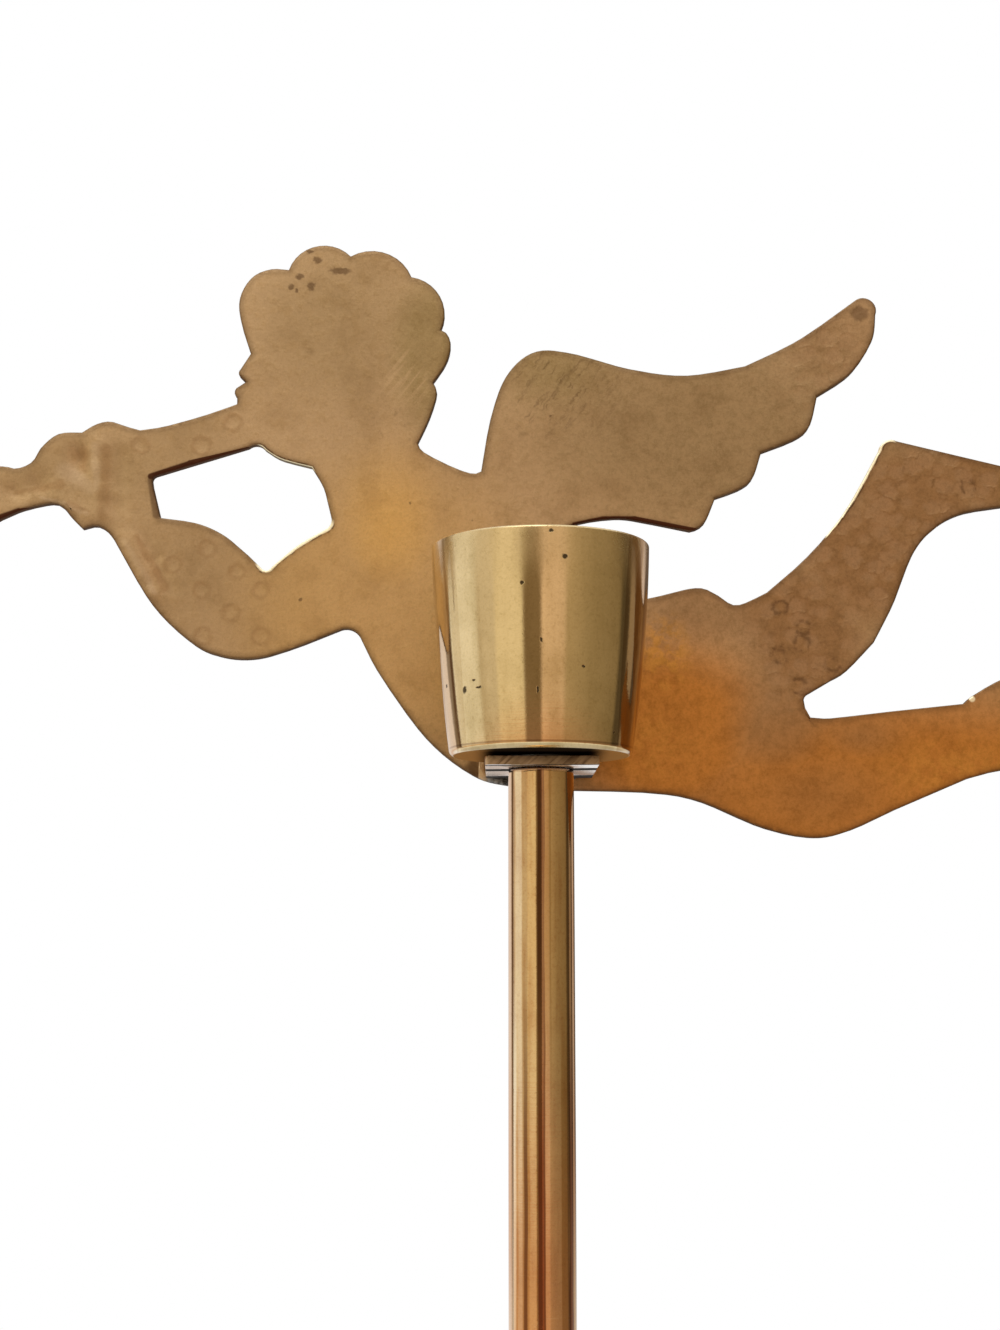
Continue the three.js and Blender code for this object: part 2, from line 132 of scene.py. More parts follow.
# Tarnish, painted reflection, painted highlights and painted shade laid over the sheet in turn: colour,
# strength, and the patches that it fills. A patch has its place, its size across and up, the share of
# it that is full, and its own strength.
TARNISH_AND_PAINTED_LIGHT = (
    ("sheet_dull", 0.85, ((22, 46, 36, 22, 0.2, 1), (-26, 60, 18, 16, 0.2, 0.7), (-62, 40, 14, 9, 0.2, 0.5))),
    ("sheet_brown", 0.5, ((41, 59, 11, 11, 0.2, 1),)),
    # Painted highlight in warm brass on the chest
    ("chest_highlight", 0.9, ((-19.5, 33, 12, 16, 0.0, 1), (-20, 22, 25, 26, 0.4, 0.5))),
    # Painted reflection of warm light on the hip and the straight leg
    ("warm_reflection", 1, ((50, -3, 58, 21, 0.35, 1), (17, 6, 19, 18, 0.35, 1))),
    ("sheet_brown", 0.65, ((23, 24, 16, 9, 0.3, 1),)),
    # Painted shade between the legs
    ("sheet_brown", 1, ((31, 7, 9, 8, 0.2, 0.6), (36, -2, 16, 9, 0.0, 0.35), (42, 5.5, 8, 4, 0.0, 0.5))),
    # Painted highlights of warm light on the hip and the straight leg
    ("warm_highlight", 0.65, ((16.3, 16.4, 4.8, 7, 0.2, 1), (53, 1, 14, 6, 0.0, 0.5), (14, 5, 9, 8, 0.0, 0.4))),
    # Painted olive shade along the head's right edge and behind it
    ("sheet_olive", 0.7, ((-11, 58, 4, 15, 0.3, 1), (-13, 57, 8.5, 15, 0.4, 0.8), (2, 55, 13, 8, 0.0, 0.8))),
)
WING_PATCH = (25, 52, 38, 22, 0.4)
SCRATCH_PATCH = (1.5, 52.5, 13, 10, 0.3)
HAMMERED_TIP = (38, 56, 9, 11, 0.2)
TIP_MARK = (43.1, 62.6, 1.5, 1.2, 0.6)
CHEEK_PATCH = (-19, 48, 8, 8, 0.2)
CHEEK_MARK = (-30.3, 57.3, 0.9, 0.9, 0.2)
BRUSHED_PATCH = (-17.3, 53.5, 4.6, 6.5, 0.2)
# A painted shadow of the bracket on the sheet, beside its left end
BRACKET_SHADOW = (-8.4, 1.6, 1.7, 2.6, 0.2)
# A painted highlight spot on the sheet's lower right edge
EDGE_GLINT = (56.4, 10.5, 0.5, 0.5, 0.5)
HAMMERED_LEG = (
    (35, 19, 11, 14, 0.35, 1), (43, 29, 13, 13, 0.35, 1), (50, 37, 13, 11, 0.35, 1), (62, 41, 17, 9, 0.35, 1),
)
# What the finer marks leave of the colour under them
WING_SHADE = (0.93, 0.94, 0.95)
MOTTLE_SHADE = (0.86, 0.83, 0.77)
BLOTCH_SHADE = (0.80, 0.77, 0.72)
SHEET_GRAIN_SHADE = (0.87, 0.86, 0.84)
TURNED_GRAIN_SHADE = (0.92, 0.91, 0.88)
# Dark stains on the hair: place and size across and up
HEAD_SPOTS = (
    (-29.5, 70.0, 0.75, 0.65), (-31.9, 67.7, 0.65, 0.6), (-26.5, 68.5, 1.9, 0.65), (-33.0, 66.3, 0.6, 0.4),
    (-32.3, 65.8, 0.4, 0.4), (-30.4, 66.4, 0.75, 0.7), (-30.6, 71.2, 0.5, 0.35),
)
# Painted shade, red-brown, along edges that face down, under the trumpet, the wing and in the arm's
# loop: from, to, and width at both
UNDER_EDGE_SHADE = (
    ((-79.3, 28.0), (-75.4, 31.4), 0.2, 0.7),
    ((-75.4, 31.4), (-70.9, 34.4), 0.7, 0.8),
    ((-70.9, 34.4), (-68.5, 35.5), 0.8, 0.55),
    ((-68.5, 35.4), (-65.4, 36.0), 0.5, 0.2),
    ((-51.2, 40.2), (-46.1, 42.0), 0.5, 0.42),
    ((-46.1, 42.0), (-38.3, 44.1), 0.42, 0.18),
    ((4.8, 33.7), (8.6, 34.5), 0.4, 0.4),
    ((8.6, 34.5), (12.7, 34.5), 0.4, 0.4),
    ((12.7, 34.5), (21.2, 32.9), 0.4, 0.3),
)
# Painted shade on the loop's rolled edge at the hand
SHADED = ((-51.0, 39.8), (-50.3, 35.0), 0.75, 0.7)
# Painted highlights along edges that catch the light, with painted shade beside them, on the raised
# leg, in the arm's loop and under the chin: from, to, and the share of the rim's width
EDGE_HIGHLIGHTS = (
    ((46.3, 44.8), (44.1, 40.3), 0.22),
    ((44.1, 40.3), (41.5, 36.1), 0.22),
    ((41.5, 36.1), (38.8, 32.6), 0.16),
    ((-36.0, 28.0), (-33.4, 30.2), 0.25),
    ((-33.4, 30.2), (-27.8, 33.4), 0.3),
    ((-36.1, 43.9), (-33.6, 42.7), 0.1),
    ((-33.6, 42.7), (-30.4, 41.5), 0.1),
)
# Painted reflections laid lengthwise on the stem's front: from and to across, colour, and strength above and
# below
STEM_STREAKS = (
    (-4.3, -3.6, "pale", 0.55, 0.55),
    (-3.52, -3.28, "dark", 0.45, 0.0),
    (-3.54, -3.1, "cream", 0.0, 0.95),
    (-3.2, -2.4, "cream", 0.25, 0.0),
    (-2.85, -2.3, "cream", 0.0, 0.3),
    (-2.3, -1.6, "brown", 0.0, 0.35),
    (-1.5, -0.75, "cream", 0.0, 0.22),
    (-2.2, -1.8, "dark", 0.0, 0.85),
    (-0.6, 0.06, "dark", 0.9, 0.0),
    (-0.52, 0.12, "red", 0.0, 0.9),
    (0.06, 0.3, "dark", 0.75, 0.95),
    (0.3, 1.05, "brown", 0.6, 0.0),
    (0.3, 2.2, "cream", 0.0, 0.22),
    (2.2, 3.1, "brown", 0.0, 0.5),
    (3.1, 3.6, "dark", 0.4, 1.0),
    (3.6, 3.85, "brown", 0.4, 0.9),
    (3.85, 4.3, "pale", 0.3, 0.15),
)
# Painted reflections at the cup's edges, laid the same way, as shares of its radius: from and to across,
# colour and strength
CUP_STREAKS = (
    (-1.02, -0.985, "dark", 0.5),
    (-0.98, -0.9, "pale", 0.4),
    (-0.9, -0.88, "dark", 0.3),
    (-0.86, -0.79, "brown", 0.28),
    (0.78, 0.925, "brown", 0.7),
    (0.935, 0.965, "pale", 0.4),
    (0.97, 1.02, "dark", 0.7),
)
# Colours of the painted reflections and painted shade on the stem and the cup
STREAK_TONES = {
    "pale": (0.92, 0.80, 0.68),
    "cream": (0.98, 0.88, 0.66),
    "brown": (0.42, 0.25, 0.07),
    "red": (0.34, 0.10, 0.03),
    "dark": (0.20, 0.075, 0.02),
}
# Pits in the cup's side: place and size across and up
CUP_PITS = (
    (-9.16, 8.8, 0.3, 0.55), (-8.1, 9.8, 0.28, 0.2), (-7.5, 8.9, 0.45, 0.16), (-11.4, 9.7, 0.16, 0.3),
    (4.73, 11.1, 0.28, 0.24), (2.6, 23.9, 0.38, 0.38), (1.0, 26.9, 0.35, 0.25), (-2.4, 20.8, 0.3, 0.25),
    (-0.2, 14.1, 0.14, 0.4), (-0.6, 8.3, 0.16, 0.5),
)
STREAK_EDGE = 0.07
CREAM_EDGE = 0.1
CUP_STREAK_EDGE = 0.006
CUP_BASE_SHARE = 0.84  # of the rim's radius, where the cup's streaks end below
# Solder drawn in from the lower right corner of its run, in millimetres
SOLDER_PULL = (-2.6, 0, 0.8)
SOLDER_SMOOTHING = {"factor": 0.5, "iterations": 6}


def length(name, description, millimetres):
    """A size that the panel can change."""
    return FloatProperty(name=name, description=description, default=millimetres * MM, min=0, unit="LENGTH")


def colour(name, description, rgb):
    """A colour that the panel can change."""
    return FloatVectorProperty(
        name=name, description=description, default=rgb, min=0, max=1, size=3, subtype="COLOR"
    )


class CandlestickSizes(bpy.types.PropertyGroup):
    """Sizes of the dressed pieces."""

    round_sides: IntProperty(name="Sides", description="Facets round a turned piece", default=128, min=24)
    slim_sides: IntProperty(name="Slim sides", description="Facets round a slim piece", default=64, min=16)
    rod_steps: IntProperty(name="Rod steps", description="Facets in a turn of the thread", default=20, min=8)
    sheet_edge: length("Sheet edge", "Rounding of the sawn edge of the angel", 0.16)
    sheet_cell: length("Sheet cell", "Spacing of the lines that the angel's sheet is divided by", 1.0)
    sheet_rim: length("Sheet rim", "Width of the browned rim along the sawn edge", 1.3)
    sheet_inset: length("Sheet inset", "Width of the first strip of cells along the sawn edge", 0.4)
    sheet_wave: length("Sheet wave", "How far the sheet is out of flat", 0.16)
    sheet_wavelength: length("Sheet wavelength", "Spacing of the sheet's waves", 18)
    mark_depth: length("Mark depth", "Depth of a hammer mark in the sheet", 0.03)
    mark_radius: length("Mark radius", "Reach of a hammer mark in the sheet", 1.5)
    crease_height: length("Crease height", "Height of the creases over the hands and the arm", 0.55)
    crease_radius: length("Crease radius", "Reach of a crease", 1.9)
    bracket_edge: length("Bracket edge", "Rounding of the bracket's sawn edges", 0.1)
    bracket_corner: length("Bracket corner", "Rounding of the foot's front left corner", 0.9)
    solder_cell: length("Solder cell", "Size of the faces that the solder is made of", 0.12)
    solder_reach: length("Solder reach", "How far round its corner the solder is drawn in", 4.5)
    solder_grain: length("Solder grain", "Size of the lumps in the solder", 2.2)
    solder_lump: length("Solder lump", "Height of the lumps in the solder", 0.5)
    cup_base: length("Cup base", "Outside radius of the cup at its bottom", 11.2)
    cup_swell: length("Cup swell", "How far the cup's side stands proud of a straight taper", 0.4)
    cup_wall: length("Cup wall", "Thickness of the cup's side", 1.0)
    cup_floor: length("Cup floor", "Thickness of the cup's floor", 1.2)
    cup_corner: length("Cup corner", "Rounding of the cup's bottom edge", 0.7)
    cup_lip: length("Cup lip", "Rounding of the cup's rim", 0.3)
    stem_wall: length("Stem wall", "Thickness of the tube", 1.0)
    stem_edge: length("Stem edge", "Rounding of the tube's ends", 0.25)
    rod_hole: length("Rod hole", "Radius of the holes for the tie rod", 2.1)
    rod_pitch: length("Rod pitch", "Pitch of the tie rod's thread", 0.7)
    rod_core: length("Rod core", "Radius at the bottom of the thread", 1.6)
    foot_wall: length("Foot wall", "Thickness of the spun dome", 1.2)
    foot_rim: length("Foot rim", "Height of the band round the dome", 4.2)
    foot_rim_round: length("Foot rim round", "Rounding of the band's upper edge", 1.4)
    foot_crown: length("Foot crown", "How far the dome stands proud of a straight cone", 2.2)
    boss_radius: length("Boss radius", "Radius of the flat seat under the stem", 7.5)
    boss_rise: length("Boss rise", "Height of the seat over the dome", 2.4)
    felt_edge: length("Felt edge", "Rounding of the felt's edge", 0.5)
    weight_edge: length("Weight edge", "Rounding of the iron weight's edges", 0.5)
    nut_edge: length("Nut edge", "Rounding of the nuts' and washers' edges", 0.08)


class CandlestickFinishes(bpy.types.PropertyGroup):
    """Colours of the dressed pieces."""

    sheet: colour("Sheet", "Tarnished sheet brass", (0.64, 0.44, 0.243))
    sheet_dull: colour("Dull sheet", "Greyer clouds in the tarnish", (0.42, 0.285, 0.14))
    # A painted highlight in warm brass on the chest
    chest_highlight: colour("Warm sheet", "Warm brass rubbed bright on the chest", (0.86, 0.535, 0.185))
    # A painted reflection of warm light on the hip and the straight leg
    warm_reflection: colour("Orange sheet", "Orange tarnish on hip and straight leg", (0.61, 0.262, 0.058))
    # Painted highlights on the backs of the folds over the hands
    fold_highlight: colour("Pale sheet", "Pale backs of the folds over the hands", (0.72, 0.54, 0.36))
    # Painted highlights of warm light on the hip and the straight leg
    warm_highlight: colour("Glowing sheet", "Bright orange places on the hip", (0.80, 0.41, 0.085))
    # Also painted shade between the legs, in the creases and in the folds
    sheet_brown: colour("Brown sheet", "Brown tarnish on the hammered leg", (0.37, 0.21, 0.092))
    # Also the painted highlight where the creases stand out
    sheet_rosy: colour("Rosy sheet", "Rosy hollows of the hammer marks", (0.50, 0.315, 0.175))
    # Painted olive shade along the head's right edge and behind it
    sheet_olive: colour("Olive sheet", "Olive shade behind the head", (0.35, 0.26, 0.105))
    # Painted highlight along edges that catch the light, and a painted highlight spot
    edge_highlight: colour("Bright sheet", "Bare brass where an edge is rubbed", (1.0, 0.91, 0.64))
    # Painted shade, red-brown, along edges that face down
    under_edge_shade: colour("Scorch", "Red-brown of scorched edges", (0.065, 0.018, 0.008))
    # Also painted shade on edges that face down, on the loop's rolled edge, beside the painted highlights and
    # beside the bracket
    sheet_dark: colour("Dark sheet", "Spots, pits and lower edges", (0.085, 0.04, 0.018))
    cup: colour("Cup", "Polished brass of the cup", (0.81, 0.625, 0.335))
    cup_dull: colour("Dull cup", "Olive tarnish in the cup's polish", (0.56, 0.41, 0.18))
    stem: colour("Stem", "Polished brass of the stem", (0.76, 0.52, 0.24))
    stem_dull: colour("Dull stem", "Red-brown tarnish on the stem", (0.55, 0.29, 0.10))
    solder: colour("Solder", "Dull soft solder", (0.34, 0.33, 0.31))
    tin: colour("Tin", "Tinned underside of the bracket", (0.88, 0.87, 0.86))
    steel: colour("Steel", "Plated steel of the rod, nuts and washers", (0.56, 0.56, 0.55))
    pit: colour("Pit", "Dirt in the pits of turned brass", (0.02, 0.012, 0.006))
    # Painted shade in the middle of faces that look down, such as the cup's underside
    painted_shade: colour("Soot", "Soot in the middle of the cup's underside", (0.02, 0.011, 0.006))
    # Painted shade round that middle, further out on the same faces
    underside_shade: colour("Heat", "Heat stain round the soot", (0.42, 0.20, 0.06))
    # Also the painted shade over the back of the tinned underside
    seam: colour("Seam", "Black seams in the tin", (0.015, 0.009, 0.005))
    rust: colour("Rust", "Rust on the iron", (0.13, 0.06, 0.03))
    iron: colour("Iron", "Raw cast iron of the weight", (0.07, 0.068, 0.065))
    felt: colour("Felt", "Green felt under the foot", (0.02, 0.055, 0.03))


class CandlestickStage(bpy.types.PropertyGroup):
    """Camera, floor and light."""

    eye: FloatVectorProperty(
        name="Eye", description="Place of the camera", default=(-0.005, -0.231, 0.19335), unit="LENGTH"
    )
    tilt: FloatProperty(
        name="Tilt", description="How far the camera looks up", default=math.radians(8.27), subtype="ANGLE"
    )
    lens: FloatProperty(name="Lens", description="Focal length in millimetres", default=51.43, min=1)
    floor_radius: length("Floor radius", "Radius of the pale floor", 600)
    wall_radius: length("Wall radius", "Radius of the toned wall that the metal mirrors", 900)
    wall_height: length("Wall height", "Height of the toned wall", 1300)
    fill: FloatProperty(name="Fill", description="Level of the even light", default=0.6, min=0)
    lamp: FloatProperty(name="Lamp", description="Power of the soft lamp", default=3.0, min=0, unit="POWER")


# Shader graphs


class Value:
    """A socket in a shader graph. Arithmetic on it adds Math nodes."""

    def __init__(self, graph, socket):
        self.graph = graph
        self.socket = socket

    def math(self, operation, first, second, clamp=False):
        settings = {"operation": operation, "use_clamp": clamp}
        return self.graph.node("Math", settings, {0: first, 1: second})

    def __add__(self, other):
        return self.math("ADD", self, other)

    def __radd__(self, other):
        return self.math("ADD", other, self)

    def __sub__(self, other):
        return self.math("SUBTRACT", self, other)

    def __rsub__(self, other):
        return self.math("SUBTRACT", other, self)

    def __mul__(self, other):
        return self.math("MULTIPLY", self, other)

    def __rmul__(self, other):
        return self.math("MULTIPLY", other, self)

    def __truediv__(self, other):
        return self.math("DIVIDE", self, other)

    def __neg__(self):
        return self.math("MULTIPLY", self, -1.0)

    def __or__(self, other):
        """The greater of both."""
        return self.math("MAXIMUM", self, other)

    def __abs__(self):
        return self.math("ABSOLUTE", self, 0.0)

    def clamped(self):
        return self.math("ADD", self, 0.0, clamp=True)


class Graph:
    """A material's node tree, built by expressions, and the tone that its colours are laid on."""

    def __init__(self, name, tree=None):
        if tree is None:
            self.material = bpy.data.materials.new(name)
            self.material.use_nodes = True
            tree = self.material.node_tree
        self.tree = tree
        self.tree.nodes.clear()
        self.tone = None

    def node(self, kind, settings=None, sockets=None, output=0):
        made = self.tree.nodes.new("ShaderNode" + kind)
        for name, value in (settings or {}).items():
            if name == "stops":
                set_stops(made.color_ramp, value)
            else:
                setattr(made, name, value)
        for name, value in (sockets or {}).items():
            if isinstance(value, Value):
                self.tree.links.new(value.socket, made.inputs[name])
            else:
                made.inputs[name].default_value = value
        return Value(self, made.outputs[output]) if made.outputs else None

    def vector(self, operation, *inputs, output="Vector"):
        return self.node("VectorMath", {"operation": operation}, dict(enumerate(inputs)), output)

    def metres(self):
        return self.node("TexCoord", output="Object")

    def place(self):
        """Object coordinates in millimetres, measured from the stem's top."""
        return self.vector("MULTIPLY_ADD", self.metres(), (1 / MM,) * 3, (0, 0, -STEM_TOP / MM))

    def stretched(self, vector, x, y, z):
        return self.vector("MULTIPLY", vector, (x, y, z))

    def axis(self, vector, name):
        return self.node("SeparateXYZ", None, {0: vector}, name)

    def facing(self, name):
        """One axis of the way that the surface faces."""
        return self.axis(self.node("NewGeometry", output="Normal"), name)

    def noise(self, vector, size, detail=2.0, roughness=0.5, distortion=0.0, output="Fac"):
        """Cloudy noise whose lumps are about size millimetres across."""
        sockets = {"Vector": vector, "Scale": 1 / size, "Detail": detail}
        sockets.update({"Roughness": roughness, "Distortion": distortion})
        return self.node("TexNoise", None, sockets, output)

    def cells(self, vector, size, randomness=1.0, feature="F1"):
        """Distance from the nearest of many scattered points, or from the border of its cell."""
        sockets = {"Vector": vector, "Scale": 1 / size, "Randomness": randomness}
        return self.node("TexVoronoi", {"feature": feature}, sockets, "Distance")

    def band(self, value, low, high):
        """Goes smoothly from 0 at low to 1 at high."""
        sockets = {"Value": value, "From Min": low, "From Max": high, "To Min": 0.0, "To Max": 1.0}
        return self.node("MapRange", {"interpolation_type": "SMOOTHSTEP"}, sockets)

    def far(self, vector, x, z, across=1.0, high=1.0):
        """Distance in the sheet's plane from a place, in units of across and high."""
        shift = (-x / across, 0, -z / high)
        scaled = self.vector("MULTIPLY_ADD", vector, (1 / across, 0, 1 / high), shift)
        return self.vector("LENGTH", scaled, output="Value")

    def patch(self, vector, x, z, across, high, core=0.2):
        """1 in the middle of a soft oval patch, 0 at its edge."""
        return self.band(self.far(vector, x, z, across, high), 1.0, core)

    def stroke(self, vector, start, end, first, last, soft=0.5):
        """1 along a line from start to end, 0 at a distance that goes from first to last."""
        run = Vector((end[0] - start[0], 0, end[1] - start[1]))
        from_start = self.vector("MULTIPLY_ADD", vector, (1, 0, 1), (-start[0], 0, -start[1]))
        share = self.vector("DOT_PRODUCT", from_start, run, output="Value")
        share = (share * (1 / run.length_squared)).clamped()
        foot = self.node("VectorMath", {"operation": "SCALE"}, {0: tuple(run), "Scale": share})
        away = self.vector("DISTANCE", from_start, foot, output="Value")
        return self.band(away - first - share * (last - first), 0.0, -soft * min(first, last))

    def painted(self, name):
        """A value stored on the mesh."""
        return self.node("Attribute", {"attribute_name": name}, None, "Fac")

    def mix(self, factor, first, second, blend="MIX"):
        """The second colour over the first, as far as the factor goes."""
        settings = {"data_type": "RGBA", "blend_type": blend}
        return self.node("Mix", settings, {0: factor, 6: solid(first), 7: solid(second)}, 2)

    def lay(self, factor, colour):
        """Lays a colour over the tone."""
        self.tone = self.mix(factor, self.tone, colour)

    def dim(self, factor, shade):
        """Darkens the tone by a shade."""
        self.tone = self.mix(factor, self.tone, shade, "MULTIPLY")

    def shader(self, roughness, metallic=1.0, height=None, depth=0.1, extra=None):
        """The surface in that tone. Height is a bump of depth millimetres."""
        sockets = {"Base Color": self.tone, "Roughness": roughness, "Metallic": metallic}
        sockets.update(extra or {})
        if height is not None:
            bump = {"Height": height, "Distance": depth * MM, "Strength": 1.0}
            sockets["Normal"] = self.node("Bump", None, bump)
        surface = self.node("BsdfPrincipled", None, sockets)
        self.node("OutputMaterial", None, {"Surface": surface})
        return self.material


def set_stops(ramp, stops):
    """Sets the places and colours of a ramp."""
    while len(ramp.elements) < len(stops):
        ramp.elements.new(1.0)
    for element, (position, rgb) in zip(ramp.elements, stops):
        element.position = position
        element.color = (*rgb, 1.0)


def solid(tone):
    """A plain colour with its alpha. A socket stays as it is."""
    return tone if isinstance(tone, Value) else (*tone, 1.0)


def strongest(values):
    """The greatest of several values, place by place."""
    return functools.reduce(operator.or_, values)


# Finishes


def hammer_rings(graph, place, marks, radius):
    """1 along the rim of each hammer mark."""
    return strongest(graph.band(abs(graph.far(place, x, z) - radius), 0.55, 0.0) for x, z in marks)


def spots(graph, place, marks, core=0.5):
    """1 in each oval spot."""
    return strongest(graph.patch(place, *mark, core) for mark in marks)


def patches(graph, place, marks):
    """Soft oval patches, each with its own strength."""
    return strongest(graph.patch(place, *mark) * strength for *mark, strength in marks)


def strokes(graph, place, lines, soft=0.5):
    """1 along each of the lines."""
    return strongest(graph.stroke(place, *line, soft) for line in lines)


def wandering(graph, place, size, reach):
    """Places shifted about by noise, so that what is drawn on them has ragged edges."""
    shift = graph.noise(place, size, 2.0, output="Color")
    centred = graph.vector("SUBTRACT", shift, (0.5, 0.5, 0.5))
    return graph.vector("MULTIPLY_ADD", centred, (reach, 0, reach), place)


def brushing(graph, place, lean, size):
    """Fine straight streaks that lean by some degrees."""
    sockets = {"Vector": place, "Angle": math.radians(lean)}
    leaning = graph.node("VectorRotate", {"rotation_type": "Y_AXIS"}, sockets)
    return graph.noise(graph.stretched(leaning, 1.0, 1.0, 0.07), size, 3.0, 0.6)


def sheet_tarnish_and_painted_light(graph, place, leg, finishes):
    """The slow changes of colour over the sheet: tarnish, a painted reflection of warm light, painted
    highlights and painted shade.
    """
    clouds = graph.band(graph.noise(place, 22, 3.0), 0.38, 0.68)
    graph.tone = graph.mix(clouds * 0.35, finishes.sheet, finishes.sheet_dull)
    uneven = graph.band(graph.noise(place, 1.8, 4.0, 0.6), 0.4, 0.58)
    for name, strength, marks in TARNISH_AND_PAINTED_LIGHT:
        laid = patches(graph, place, marks) * strength
        if name == "warm_highlight":
            laid = laid * uneven
        graph.lay(laid, getattr(finishes, name))
    graph.dim(graph.patch(place, *WING_PATCH), WING_SHADE)
    graph.lay(leg * 0.95, finishes.sheet_brown)


def stains_and_bracket_shadow(graph, place):
    """Stains on the hair and cheek, specks, scratches on the wing, a mark on its tip, and a painted shadow
    beside the bracket.
    """
    ragged = wandering(graph, place, 0.7, 0.9)
    hair = spots(graph, ragged, HEAD_SPOTS)
    specks = graph.band(graph.cells(ragged, 6.5), 0.045, 0.02) * graph.band(graph.noise(place, 9), 0.5, 0.55)
    scratched = graph.band(brushing(graph, ragged, -35, 0.45), 0.5, 0.66) * graph.patch(place, *SCRATCH_PATCH)
    scratched = scratched * graph.band(graph.noise(place, 1.6, 2.0), 0.4, 0.6)
    tip = graph.patch(ragged, *TIP_MARK)
    cheek = graph.band(graph.noise(place, 1.6, 3.0), 0.6, 0.75) * graph.patch(place, *CHEEK_PATCH)
    cheek = cheek | 0.5 * graph.patch(ragged, *CHEEK_MARK)
    painted_shade = graph.patch(ragged, *BRACKET_SHADOW)
    return 0.6 * hair | 0.6 * specks | 0.4 * scratched | 0.5 * tip | 0.25 * cheek | 0.75 * painted_shade


def hammered(graph, place, leg):
    """Crowded shallow dents on the raised leg and the wing's tip, and the broken ridges between them."""
    ragged = graph.stretched(wandering(graph, place, 1.3, 1.5), 1, 0, 1.2)
    where = leg | 0.7 * graph.patch(place, *HAMMERED_TIP)
    dents = graph.band(graph.cells(ragged, 2.4, 0.9), 0.68, 0.34)
    broken = graph.band(graph.noise(place, 1.6, 2.0), 0.45, 0.62)
    ridges = graph.band(graph.cells(ragged, 2.4, 0.9, "DISTANCE_TO_EDGE"), 0.13, 0.02) * broken
    return dents * where, ridges * where


def sheet_edges(graph, place, finishes):
    """Browned rims, painted shade on edges that face down and on the loop's rolled edge, and painted
    highlights on edges, with painted shade beside them.
    """
    near = graph.painted("rim")
    worn = 0.35 + 0.9 * graph.noise(place, 4, 2.0)
    graph.lay(graph.band(near, 0.2, 1.0) * worn * 0.5, finishes.sheet_dark)
    graph.lay(graph.band(near, 0.8, 0.98) * 0.4, finishes.sheet_dark)
    # Painted shade along edges that face down
    under = graph.painted("under")
    graph.lay(graph.band(under, 0.7, 0.95) * 0.3, finishes.sheet_dark)
    # Painted shade, red-brown, along the undersides of the trumpet, the loop's top and the wing
    graph.lay(strokes(graph, place, UNDER_EDGE_SHADE) * 0.95, finishes.under_edge_shade)
    graph.lay(graph.stroke(place, *SHADED) * 0.5, finishes.sheet_dark)
    # Painted highlights along edges that catch the light, each with painted shade beside it
    broken = graph.band(graph.noise(place, 0.8), 0.4, 0.55)
    for start, end, share in EDGE_HIGHLIGHTS:
        line = graph.stroke(place, start, end, 1.4, 1.4)
        shade_beside = line * graph.band(abs(near - 1 + share), 0.16, 0.04) * broken
        graph.lay(shade_beside * 0.7, finishes.sheet_dark)
        highlit_edge = line * graph.band(near, 1 - share, 1.1 - share)
        graph.lay(highlit_edge, finishes.edge_highlight)
    # A painted highlight spot on the sheet's lower right edge
    graph.lay(graph.patch(place, *EDGE_GLINT), finishes.edge_highlight)


